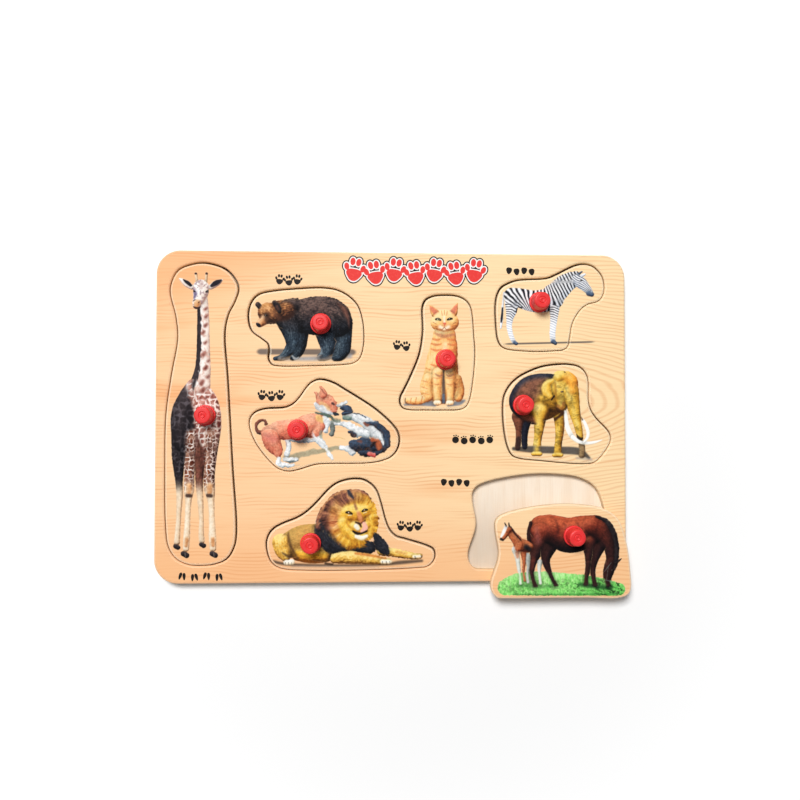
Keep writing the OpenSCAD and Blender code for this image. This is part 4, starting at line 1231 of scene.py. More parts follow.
def paintElephant(art):
    limb, glaze, mark, marks, eye = held(art, paintLimb, paintGlaze, paintMark, paintMarks, paintEye)
    hide, warm, rear, leg, night, tip, ivory = elephantLook.values()
    mark([(77, -20.4, 1.2), (88, -20.8, 2.2), (106, -21.4, 2.4), (119, -22.2, 2.4), (126, -26.2, 0.9)],
         (58, 60, 66), 0.92, 0.7, True)
    mark([(118, -26.4, 0.7), (127.4, -27.4, 0.8)], (150, 150, 152), 0.6, 1.0, True)
    limb([(85.4, -2, 3.6), (84.4, -8, 2.5), (84, -14, 2.1), (84.2, -19.4, 2)], night, -0.1, fur=0.15)
    limb([(80.4, 0, 4.6), (80.4, -7, 2.4), (80.2, -14, 1.9), (79.6, -20, 2)], leg, fur=0.15,
         pattern=wrinkled(1.6, 0.3))
    mark([(80, -14, 1.4), (79.8, -20, 1.8)], (30, 24, 28), 0.7, 1.0)
    limb([(106.8, 3, 4.6), (107, -5, 3.3), (106.8, -11, 2.7), (106, -17, 2.4), (105.6, -23, 2.8)], hide,
         -0.02, fur=0.14, pattern=wrinkled(1.7, 0.3))
    mark([(109.6, 0, 0.6), (109.8, -6, 0.7), (108.4, -14, 0.5)], (150, 92, 40), 0.6, 0.8)
    limb([(86.4, 10, 12.4), (91.4, 12, 15.2), (98, 13.4, 14.6), (104, 15.4, 11.8)], rear, -0.02,
         pattern=elephantFlank, fur=0.16, ragged=0.15)
    glaze([(81.6, 3, 3.6), (86, -0.6, 3.8), (91, -1.6, 3.4)], leg, feather=3.2)
    limb([(94, 4, 6.2), (93.8, -3, 4), (93.2, -10, 2.9), (92.4, -16, 2.6), (92, -22, 3)], hide, 0.06,
         feather=3.0, fur=0.14, pattern=wrinkled(1.7, 0.3))
    for x, y in ((92, -23), (105.6, -23.8)):
        limb([(x - 2, y - 0.6, 1.7), (x + 2, y - 0.6, 1.7)], hide, 0.1, feather=1.2, fur=0.1)
        marks([[(x + k, y - 1), (x + k, y - 2.1)] for k in (-2.1, -0.7, 0.7, 2.1)], 0.24, (168, 122, 56),
              0.7)
    mark([(98, -4, 0.6), (103, -2, 0.9), (106.4, 0.2, 0.9), (109.4, 3, 1.1)], (54, 30, 20), 0.9, 0.6)
    limb([(110.6, 3.6, 1.1), (111.2, -3, 1.5), (112.6, -8.4, 1.6), (115.4, -13, 1.5), (119.6, -16, 1.2)],
         ivory, 0.14, fur=0.04, ragged=0.05)
    limb([(106.8, 23.6, 5.2), (108.4, 18, 6.4), (109.4, 12, 5.2), (108.4, 7, 3.6)], hide, 0.04, feather=1.6,
         fur=0.16, pattern=wrinkled(2.2, 0.2))
    glaze([(106.4, 25.8, 3.9), (108.6, 26.4, 3.5)], hide, 0.1, feather=2.0, fur=0.14)
    mark([(110.4, 29, 0.6), (111.6, 29.2, 0.5)], (70, 44, 22), 0.8, 0.5)
    mark([(106, 7, 1), (108.4, 5.6, 0.9), (109.6, 9, 0.8)], (146, 82, 46), 0.6, 0.9)
    mark([(105.6, 5.2, 0.8), (109, 2.6, 0.9)], (62, 34, 22), 0.75, 0.7)
    limb([(114.6, 17, 5), (115.4, 10, 4.6), (116.8, 3, 3.7), (118.4, -4, 2.8), (119.6, -9.4, 2.4),
          (120.2, -13.6, 2.1)], hide, 0.1, feather=1.3, fur=0.14, pattern=wrinkled(1.3, 0.3))
    glaze([(111.6, 25.6, 4), (114.6, 22.6, 4.4), (115.2, 17, 3.6)], warm, 0.02, feather=3.4, fur=0.16)
    mark([(118.2, 21, 0.5), (118.8, 17, 0.4)], (140, 84, 34), 0.6, 0.6)
    limb([(121, -16.6, 1.9), (121.4, -20.6, 2.2), (121.4, -24.4, 2.4)], tip, -0.04, feather=1.2, fur=0.14,
         pattern=wrinkled(1.0, 0.4))
    mark([(117.6, -11.6, 0.6), (119.4, -13.8, 1.1), (121.8, -14, 0.7)], (44, 30, 26), 0.9, 0.5)
    mark([(117.8, -7, 0.7), (119, -8, 0.6)], (110, 88, 42), 0.6, 0.8)
    limb([(115.4, -13, 1.5), (119.6, -16, 1.2), (125, -16.8, 1), (130, -16.2, 0.8), (134.4, -14.8, 0.25)],
         ivory, 0.14, feather=0.3, fur=0.04, ragged=0.05)
    limb([(121.8, -1.6, 0.8), (123.8, -5, 1.1), (125.4, -10, 1.1), (124.8, -13.6, 0.9), (122.6, -16, 0.7)],
         ivory, 0.14, fur=0.04, ragged=0.05)
    mark([(120.8, 0, 0.4), (121.8, -1.8, 0.5)], (96, 62, 34), 0.8, 0.4, True)
    limb([(102, 23.4, 1.6), (98.6, 20.6, 3), (98.4, 16.8, 3.4), (100.4, 13.2, 2)], hide, 0.22, feather=1.3,
         fur=0.14, shadow=0.3)
    mark([(104, 22, 0.5), (104.4, 17, 0.7), (104, 13.4, 0.4)], (150, 100, 40), 0.6, 0.7)
    mark([(101.6, 11, 0.5), (103.4, 13.4, 0.6)], (36, 20, 14), 0.95)
    eye(108.6, 16.1, 0.8, (30, 20, 14), (60, 38, 22))


# Lion: golden face in a mane that darkens outwards
lionLook = dict(
    coat=((96, 58, 22), (188, 134, 52), (234, 184, 82), (252, 224, 142)),
    dim=((84, 56, 26), (162, 120, 58), (208, 166, 90)),
    mane=((26, 17, 18), (80, 48, 46), (142, 88, 70), (204, 144, 96)),
    ember=((96, 46, 30), (178, 98, 58), (224, 146, 90), (244, 188, 130)),
    gold=((122, 66, 18), (204, 138, 38), (240, 188, 68), (253, 224, 130)),
    night=((10, 12, 16), (28, 30, 38), (58, 58, 64)),
    pale=((186, 160, 124), (244, 232, 206), (255, 253, 244)))


# Mane: hair as noise drawn out away from the face, gold beside it, brown on top and rust to the left
def maneHair(colour, x, y, run, right, value):
    look = lionLook
    turn, reach = np.arctan2(y + 65, x + 23.5), np.hypot(x + 23.5, (y + 65) / 1.05)
    sway = 0.8 * latticeNoise(x / 3, y / 3, 91)
    strand = 0.55 * latticeNoise(turn * 9 + sway, reach / 5, 92)
    strand = strand + 0.45 * latticeNoise(turn * 23 + 2 * sway, reach / 3, 93)
    tone = 0.5 + (strand - 0.5) + 0.3 * (value - 0.5)
    angle = np.degrees(turn) % 360
    top = np.exp(-((angle - 118) / 44) ** 2) * eased(reach, 8, 13)
    left = np.exp(-((angle - 186) / 30) ** 2) * eased(reach, 10, 13)
    hair = blended(toned(look["gold"], tone), toned(look["ember"], tone + 0.04), left)
    hair = blended(hair, toned(look["mane"], tone + 0.14), top)
    far = eased(reach + 3 * (strand - 0.5), 15.5, 20) * eased(-x, 26, 36)
    return blended(hair, toned(look["mane"], tone - 0.2), 0.9 * far)


def paintLion(art):
    limb, glaze, mark, marks, eye = held(art, paintLimb, paintGlaze, paintMark, paintMarks, paintEye)
    coat, dim, mane, ember, gold, night, pale = lionLook.values()
    mark([(-75.6, -91.4, 1), (-66, -93.2, 1), (-40, -94, 0.8), (-8, -93.8, 0.8), (4, -92.6, 1.3),
          (18, -91.6, 0.9)], (66, 58, 54), 0.9, 0.9, True)
    mark([(-64, -94.6, 0.6), (-10, -95.2, 0.6)], (170, 160, 150), 0.5, 0.9, True)
    limb([(-8, -85.6, 2.6), (0, -86.2, 2.8), (7, -87.6, 2.5), (13, -88.6, 2.1), (17, -88.6, 1.6)], coat,
         0.02, fur=0.44, hair=(1.8, 0.5), ragged=0.6)
    mark([(2, -85.6, 0.8), (8, -87, 0.7)], (214, 140, 72), 0.5, 0.8)
    limb([(13, -89, 1.5), (17, -88.8, 1.5)], pale, -0.02, feather=1.4, fur=0.24)
    marks([[(13.6, -88.6), (14, -90)], [(17.4, -87.8), (18, -89.2)], [(6.4, -90), (6.8, -90.8)],
           [(11.6, -90.2), (12.4, -91)]], 0.4, (44, 34, 30))
    limb([(-65, -81, 8.2), (-58, -78.6, 9.8), (-50, -79.4, 11.4), (-44, -81, 11)], dim, 0.1, fur=0.36)
    glaze([(-60, -86.6, 4.6), (-52, -87.8, 5), (-44, -88, 4.4)], gold, -0.16, feather=3.6, fur=0.24)
    limb([(-71, -79.4, 5.6), (-70, -84.6, 4.8), (-68, -88.6, 3)], coat, 0.06, feather=2.2, fur=0.46,
         shadow=0.3)
    mark([(-66.4, -73.6, 0.4), (-66, -79, 0.9), (-63.4, -84.6, 0.8), (-60.6, -89.6, 0.8)], (86, 58, 34),
         0.75, 0.9)
    mark([(-70, -86, 0.5), (-66, -88.6, 0.9), (-62, -90.6, 0.7)], (62, 42, 30), 0.75, 0.8)
    limb([(-67.6, -92, 2), (-64.2, -92, 2)], pale, feather=0.9, fur=0.18)
    marks([[(k, -92), (k, -93.8)] for k in (-68.2, -66.2, -64.2)], 0.32, (76, 64, 54), 0.85)
    limb([(-47.6, -70.4, 3.4), (-47, -74.6, 4.2), (-42.6, -80.4, 5), (-37.6, -84.4, 4.4)], night, 0.1,
         feather=2.2, fur=0.4, ragged=1.0, contrast=0.4)
    limb([(-12, -74.5, 1.2), (-9.4, -79, 3.2), (-7, -83, 4), (-4.2, -86, 2.2)], night, 0.06, fur=0.36,
         contrast=0.4, ragged=0.6)
    limb([(-36, -83, 4.2), (-26, -82.6, 4.4), (-15, -83, 4)], night, 0.04, fur=0.36, contrast=0.4,
         ragged=0.6)
    limb([(-46.4, -69.4, 3), (-43.6, -64, 4.8), (-39.4, -58, 5.4), (-34, -53, 5.4), (-28, -51.6, 5.4),
          (-21.6, -52, 5.4), (-17.4, -56, 4.4), (-15.6, -63, 4)], mane, fur=0.42, hair=(3.2, 0.4),
         ragged=0.9)
    glaze([(-40.6, -68, 6.4), (-36, -61, 9.4), (-29, -57.6, 10.6), (-22, -58.4, 10.2), (-18, -64, 7.4)],
          mane, pattern=maneHair, feather=1.6, fur=0.3, ragged=1.1)
    glaze([(-37, -72, 5.2), (-31, -73.4, 7.6), (-23.6, -74.4, 7.6), (-16.4, -70.6, 6.4), (-14.6, -63, 4.4)],
          gold, pattern=maneHair, feather=2.6, fur=0.3, hair=(3.0, 0.5), ragged=1.5)
    glaze([(-34, -78, 4), (-28, -80.4, 5), (-21, -79.4, 4.4)], gold, -0.04, pattern=maneHair, feather=2.4,
          fur=0.4, hair=(3.0, 0.5), ragged=2.2)
    glaze([(-46.6, -65, 1.4), (-45, -70.4, 2.6), (-41.6, -76, 3.2), (-37.4, -81, 3.4)], night, 0.14,
          feather=3.0, fur=0.44, ragged=1.6, contrast=0.4)
    mark([(-28.8, -46.6, 0.7), (-27.8, -49, 1.2), (-25.8, -51.4, 0.6)], (48, 50, 62), 0.9, 0.7)
    glaze([(-28, -61, 6), (-23, -61, 6.6), (-18.4, -60, 5)], gold, 0.04, feather=2.2, fur=0.22)
    glaze([(-32, -67, 4.6), (-29, -73, 4.4), (-25, -76, 3.8)], gold, 0.08, feather=2.6, fur=0.26)
    glaze([(-14.4, -64, 2.2), (-14, -70, 2.6), (-15, -75, 2.4)], gold, 0.02, feather=2.2, fur=0.26)
    glaze([(-24.6, -69.4, 4), (-20.6, -70.4, 4.4), (-17.4, -69, 3.4)], gold, 0.06, feather=2.0, fur=0.18)
    mark([(-24.6, -55.4, 0.7), (-23.6, -58.4, 0.9)], (150, 96, 66), 0.8, 0.7)
    glaze([(-22.4, -61, 1.8), (-21, -64.4, 2.2), (-20.6, -66.6, 1.8)], ember, -0.02, feather=1.5, fur=0.16)
    glaze([(-23.6, -69.6, 2.1), (-22.6, -71, 1.8)], pale, feather=1.2, fur=0.14)
    limb([(-23.4, -76, 1.7), (-20, -77, 1.9), (-17.2, -75.8, 1.5)], pale, 0.02, feather=1.0, shadow=0.1)
    mark([(-24, -67, 0.5), (-21.6, -68, 0.8), (-20.6, -69.8, 0.5)], (58, 32, 26), 0.95, 0.4)
    mark([(-20, -67.4, 0.6), (-18, -65.8, 0.5)], (104, 54, 36), 0.85, 0.4)
    mark([(-18.6, -68, 1.3), (-18, -70.6, 1.7), (-20, -72.6, 1.1)], (246, 186, 168), 0.95, 0.5)
    mark([(-25.6, -72.6, 0.6), (-23.2, -74, 0.9), (-20.4, -74, 0.6), (-17, -72.6, 0.6)], (28, 18, 16), 0.95,
         0.35)
    eye(-28.2, -61.2, 1.7, (110, 76, 28), (32, 22, 16), -0.45)
    eye(-18.3, -59.6, 1.5, (110, 76, 28), (32, 22, 16), 0.5)
    marks([[(-28.8, -62.6), (-26.6, -62.4)], [(-19, -61.2), (-17.2, -60.6)]], 0.42, (250, 240, 214), 0.8)
    marks([[(-30, -66), (-28.6, -69), (-26.6, -70.4)], [(-26, -63), (-25, -65.6)],
           [(-16.4, -62.4), (-15.2, -66)]], 0.5, (186, 118, 46), 0.6, 0.5)
    limb([(-37, -89.6, 3.4), (-29, -89, 4.2), (-18, -90, 3.7), (-9, -91.2, 2.9), (-3, -92, 2)], coat, 0.06,
         feather=0.9, fur=0.44, hair=(1.8, 0.5), ragged=0.6, shadow=0.5)
    mark([(-36, -92.4, 0.5), (-24, -92.6, 0.7), (-10, -93.4, 0.5)], (112, 70, 30), 0.6, 0.7)
    mark([(-24, -86.6, 0.7), (-14, -88, 0.9), (-5, -89.8, 0.7)], (204, 110, 46), 0.75, 0.7)
    limb([(-7, -92, 1.9), (-2.4, -92.2, 1.8)], pale, -0.02, feather=1.4, fur=0.22)
    marks([[(k, -91.8), (k + 0.3, -93.6)] for k in (-7, -4.6, -2.4)], 0.36, (58, 42, 32))
    mark([(-43, -92.8, 0.8), (-38.6, -93.4, 0.7)], (36, 26, 24), 0.9, 0.6, True)


# Horses: a bay mare grazing, with a foal behind
horseLook = dict(
    bay=((20, 10, 12), (66, 26, 21), (124, 48, 33), (194, 94, 60)),
    deep=((10, 9, 13), (34, 20, 22), (68, 36, 32)), dark=((8, 9, 12), (24, 22, 26), (52, 44, 44)),
    foal=((74, 30, 18), (156, 76, 44), (206, 118, 74), (232, 164, 118)),
    sock=((134, 138, 124), (218, 220, 208), (252, 252, 248)),
    grass=((44, 118, 46), (100, 196, 86), (146, 226, 120), (200, 246, 170)))


# Grass: blades as noise drawn out upwards, with dark tufts to the right and near the front
def grassBlades(colour, x, y, run, right, value):
    blade = latticeNoise(x / 0.5 + 0.3 * y, y / 1.7, 83)
    east = eased(x, 96, 142)
    wander = 2.4 * latticeNoise(x / 1.1, y / 1.1, 87)
    tuft = eased(latticeNoise(x / 1.7 + wander, y / 0.9 - wander, 89), 0.5, 0.8)
    tuft = tuft * eased(-y, 99, 107) * (0.35 + 0.65 * east)
    far = eased(y, -110, -98)
    green = toned(horseLook["grass"], 0.62 + 0.44 * (blade - 0.5) + 0.24 * far - 0.2 * east)
    return green * (1 - 0.58 * tuft)[:, None]


# Coat that loses its red towards the belly and the far end
def shadedBay(colour, x, y, run, right, value):
    deep = toned(horseLook["deep"], value + 0.1)
    return blended(colour, deep, np.maximum(0.94 * eased(-y, 71, 86), 0.8 * eased(x, 128, 140)))


def paintHorses(art):
    limb, glaze, mark, marks, eye = held(art, paintLimb, paintGlaze, paintMark, paintMarks, paintEye)
    bay, deep, dark, foal, sock, grass = horseLook.values()
    coat = dict(tones=bay, pattern=shadedBay, fur=0.16)
    combed = dict(fur=0.4, hair=(3.0, 0.3))
    limb([(70.6, -107.8, 5), (80, -105.8, 7.2), (95, -105.6, 7.6), (110, -106.4, 7), (124, -107.2, 6.4),
          (136, -108.6, 5), (143.6, -109.6, 4)], grass, pattern=grassBlades, ragged=0.6, fur=0.3)
    mark([(76, -112.6, 0.8), (100, -112.8, 0.8), (142, -112.6, 0.7)], (36, 104, 44), 0.5, 0.8)
    mark([(78, -106.4, 0.8), (92, -107.4, 1.1), (104, -107, 0.8)], (40, 96, 44), 0.4, 1.2)
    mark([(118, -106.4, 1), (130, -107.8, 1.4), (138, -108.8, 1.4)], (16, 54, 26), 0.7, 1.3)
    limb([(84.6, -88, 1.9), (85.4, -95, 1.2), (84.6, -100, 1.1), (85, -104.6, 1.2)], sock, -0.12, fur=0.12)
    limb([(92.6, -92, 1.7), (92.2, -98, 1.1), (93, -105.4, 1.2)], sock, fur=0.12)
    limb([(98.6, -82, 5.2), (96.4, -90, 3), (98.2, -97, 1.9), (100.6, -102.6, 1.5), (102.6, -106, 1.5)],
         deep, 0.02, fur=0.14)
    limb([(131.6, -80, 4.8), (128.8, -88.6, 2.6), (126.8, -95.6, 1.9), (126.8, -101, 1.7),
          (128, -106.4, 1.8)], deep, 0.02, fur=0.14)
    limb([(94, -70.6, 8.2), (101, -72, 9.6), (111, -75.2, 11.2), (120, -73.6, 10.8), (128, -71.2, 8.8)],
         ragged=0.15, **coat)
    limb([(127, -70, 7.2), (132.6, -72.4, 7.2), (137, -79, 5.4), (138.8, -87, 4), (138.6, -93, 3.6)],
         light=-0.12, feather=2.6, **coat)
    limb([(138.4, -92.6, 3.9), (136.8, -98, 3.6), (136, -103, 2.7), (136.6, -106.8, 2.4)], deep, 0.02,
         feather=1.8, fur=0.14)
    limb([(129, -63.4, 0.9), (135.4, -66.6, 1.6), (140, -73.6, 2), (142, -83, 1.7), (141.6, -91.6, 1.6),
          (140.6, -97, 0.9)], dark, ragged=0.5, **combed)
    limb([(141.4, -93, 0.9), (143.6, -91.4, 0.7), (145, -90.2, 0.3)], dark)
    marks([[(134, -98.4), (136.6, -95), (138.6, -92.6)], [(134.2, -103.6), (137, -104.2), (139.6, -105.2)],
           [(136.6, -95), (135.4, -103.8)]], 0.24, (118, 138, 134), 0.6)
    eye(139, -97.4, 0.6)
    limb([(124.4, -80, 4.8), (124.2, -88.6, 2.8), (123.6, -95.6, 1.9), (122.6, -101, 1.6),
          (122.2, -105.4, 1.8)], light=-0.1, feather=2.4, **coat)
    limb([(93, -74, 7), (91, -83, 4.8), (88.6, -90.4, 2.9), (87.4, -97, 1.9), (88.2, -102.6, 1.6),
          (89.4, -106.4, 1.7)], feather=3.4, **coat)
    limb([(88.2, -92, 2.2), (87.4, -97, 1.8), (88.2, -102.6, 1.5), (89.4, -106.4, 1.7)], deep, 0.1, fur=0.14)
    limb([(123.8, -93, 2), (123.4, -96.6, 1.8), (122.6, -101, 1.5), (122.2, -105.6, 1.8)], deep, 0.1,
         fur=0.14)
    for x, y in ((89.8, -107), (102.8, -106.6), (122, -106.2), (128.2, -106.8)):
        mark([(x - 0.8, y, 0.8), (x + 0.8, y, 0.8)], (54, 36, 34), 0.8, 0.4)
    mark([(88.6, -90, 1.2), (87.6, -96, 1)], (104, 46, 34), 0.6, 0.9)
    limb([(87, -67.4, 1.4), (85.6, -72, 1.3), (85.8, -78, 1.4), (86.4, -84, 0.9)], deep, ragged=0.4,
         **combed)
    glaze([(91, -64.4, 0.9), (99, -63, 1.1), (108, -64.8, 1), (118, -65.4, 1), (126, -63.4, 0.9)], bay, 0.2,
          feather=2.4, fur=0.16)
    mark([(93, -70, 2.2), (99, -70.6, 2.6)], (176, 82, 58), 0.4, 2.4)
    mark([(90.4, -71, 1.4), (91.6, -79, 1.6)], (150, 88, 90), 0.4, 1.8)
    mark([(110, -70.4, 1.6), (116, -71, 1.8)], (150, 92, 84), 0.35, 2.2)
    mark([(119, -69.4, 2.2), (125, -67, 1.8)], (178, 86, 62), 0.4, 2.2)
    marks([[(103, -66), (104.4, -72), (102, -79)], [(117, -67.6), (118.6, -73)],
           [(129.4, -70), (127.6, -78), (128.6, -83)]], 1.0, (44, 18, 20), 0.45, 1.2)
    limb([(82.2, -86, 2.2), (82.6, -92, 1.2), (82.2, -98, 0.9), (83, -103.6, 1.1)], foal, -0.12, fur=0.14)
    limb([(79.6, -80.8, 3.9), (82.6, -81.8, 4.2), (85.4, -82.6, 3.4)], foal, -0.14, fur=0.26)
    glaze([(84, -82.6, 2.8), (86, -83.8, 2.4)], dark, feather=2.2)
    limb([(77.2, -84, 2.5), (78.4, -89.6, 1.5), (79.2, -96, 1.1), (80, -101, 1), (80.2, -105.4, 1.4)], sock,
         0.02, feather=1.4, fur=0.12)
    mark([(78.4, -88.6, 1), (78.2, -86, 1.4)], (180, 100, 62), 0.7, 0.9)
    limb([(73.2, -72.4, 2.4), (75.8, -75.6, 2.8), (79, -79.8, 3.5), (79, -83, 3)], foal, -0.06, feather=1.4,
         fur=0.24)
    limb([(74, -70, 0.7), (77, -74.2, 0.9), (80.4, -78, 0.8)], deep, fur=0.3)
    limb([(72.8, -71.6, 2.3), (71, -74.4, 1.8), (69, -77.2, 1.3)], foal, -0.2, fur=0.16)
    mark([(71, -69.6, 1), (69.4, -73.2, 1), (68, -75.8, 0.6)], (252, 252, 250), 0.95, 0.35, True)
    mark([(67.8, -77.4, 0.9), (69, -78, 0.7)], (34, 30, 32), 0.95, 0.3, True)
    limb([(71.2, -69.2, 0.6), (70.2, -67.2, 0.35)], deep, fur=0.1)
    limb([(73.2, -69.6, 0.7), (72.8, -67.2, 0.35)], deep, fur=0.1)
    eye(71.6, -73, 0.45)


# Giraffe, from the front: patches parted by pale gaps, its right side in the dark
giraffeLook = dict(
    white=((150, 118, 108), (226, 204, 190), (251, 241, 232), (255, 253, 249)),
    night=((12, 11, 14), (34, 29, 32), (72, 62, 64)), rust=((40, 22, 20), (92, 52, 40), (158, 98, 70)),
    cream=((138, 96, 66), (226, 194, 158), (251, 235, 210)),
    knee=((138, 82, 48), (206, 140, 88), (242, 200, 154)),
    patch=((84, 38, 34), (142, 80, 68), (186, 124, 106)), net=(134, 126, 134), blush=(208, 160, 142))


# Patches where the nearest two points of a strewn set are unlike in distance
def patched(size, gap, tones="patch", dusk=True, seed=31, strength=1.0):
    def pattern(colour, x, y, run, right, value):
        wx = x + 2.0 * (latticeNoise(x / 1.7, y / 1.7, seed) - 0.5)
        wy = y + 2.0 * (latticeNoise(x / 1.7, y / 1.7, seed + 1) - 0.5)
        near, second = cellDistances(wx, wy, size, seed)
        uneven = latticeNoise(x / 2.6, y / 2.6, seed + 2)
        wide = gap + 0.3 * (uneven - 0.5)
        patch = eased(second - near, wide - 0.12, wide + 0.16)
        brown = toned(giraffeLook[tones], value - 0.2 * eased(near, 0.45, 0.1) + 0.1)
        coat = blended(colour, brown, strength * (0.55 + 0.45 * uneven) * patch)
        if not dusk:
            return coat
        night = toned(giraffeLook["night"], value - 0.1)
        night = blended(night, giraffeLook["net"], 0.5 * (1 - patch) * uneven)
        return blended(coat, night, giraffeDusk(x, y))
    return pattern


def giraffeDusk(x, y):
    stray = 1.6 * (latticeNoise(x / 2, y / 2, 77) - 0.5)
    return eased(x + 0.3 * np.clip(y - 2, 0, 60) + stray, -124, -127.6)


# Neck: pale with a blush, and one side in the dark
def neckCoat(colour, x, y, run, right, value):
    stray = 0.3 * (latticeNoise(x / 1.2, y / 2.2, 79) - 0.5)
    drift = 1.3 * latticeNoise(x / 1.3, y / 1.3, 85)
    blush = eased(latticeNoise(x / 1.3 + drift, y / 1.7 - drift, 84), 0.4, 0.85)
    colour = blended(colour, giraffeLook["blush"], 0.6 * blush)
    return blended(colour, toned(giraffeLook["night"], value - 0.1), eased(right + stray, -0.3, -0.46))


# Face: white with faint brown freckles
def freckled(colour, x, y, run, right, value):
    return blended(colour, (142, 106, 116), 0.6 * eased(latticeNoise(x / 0.9, y / 1.1, 81), 0.56, 0.85))


# Legs: a patched coat above the knee and cream below it
def shanked(upper):
    def pattern(colour, x, y, run, right, value):
        cream = toned(giraffeLook["cream"], value + 0.14)
        return blended(upper(colour, x, y, run, right, value), cream, eased(-y, 38, 50))
    return pattern


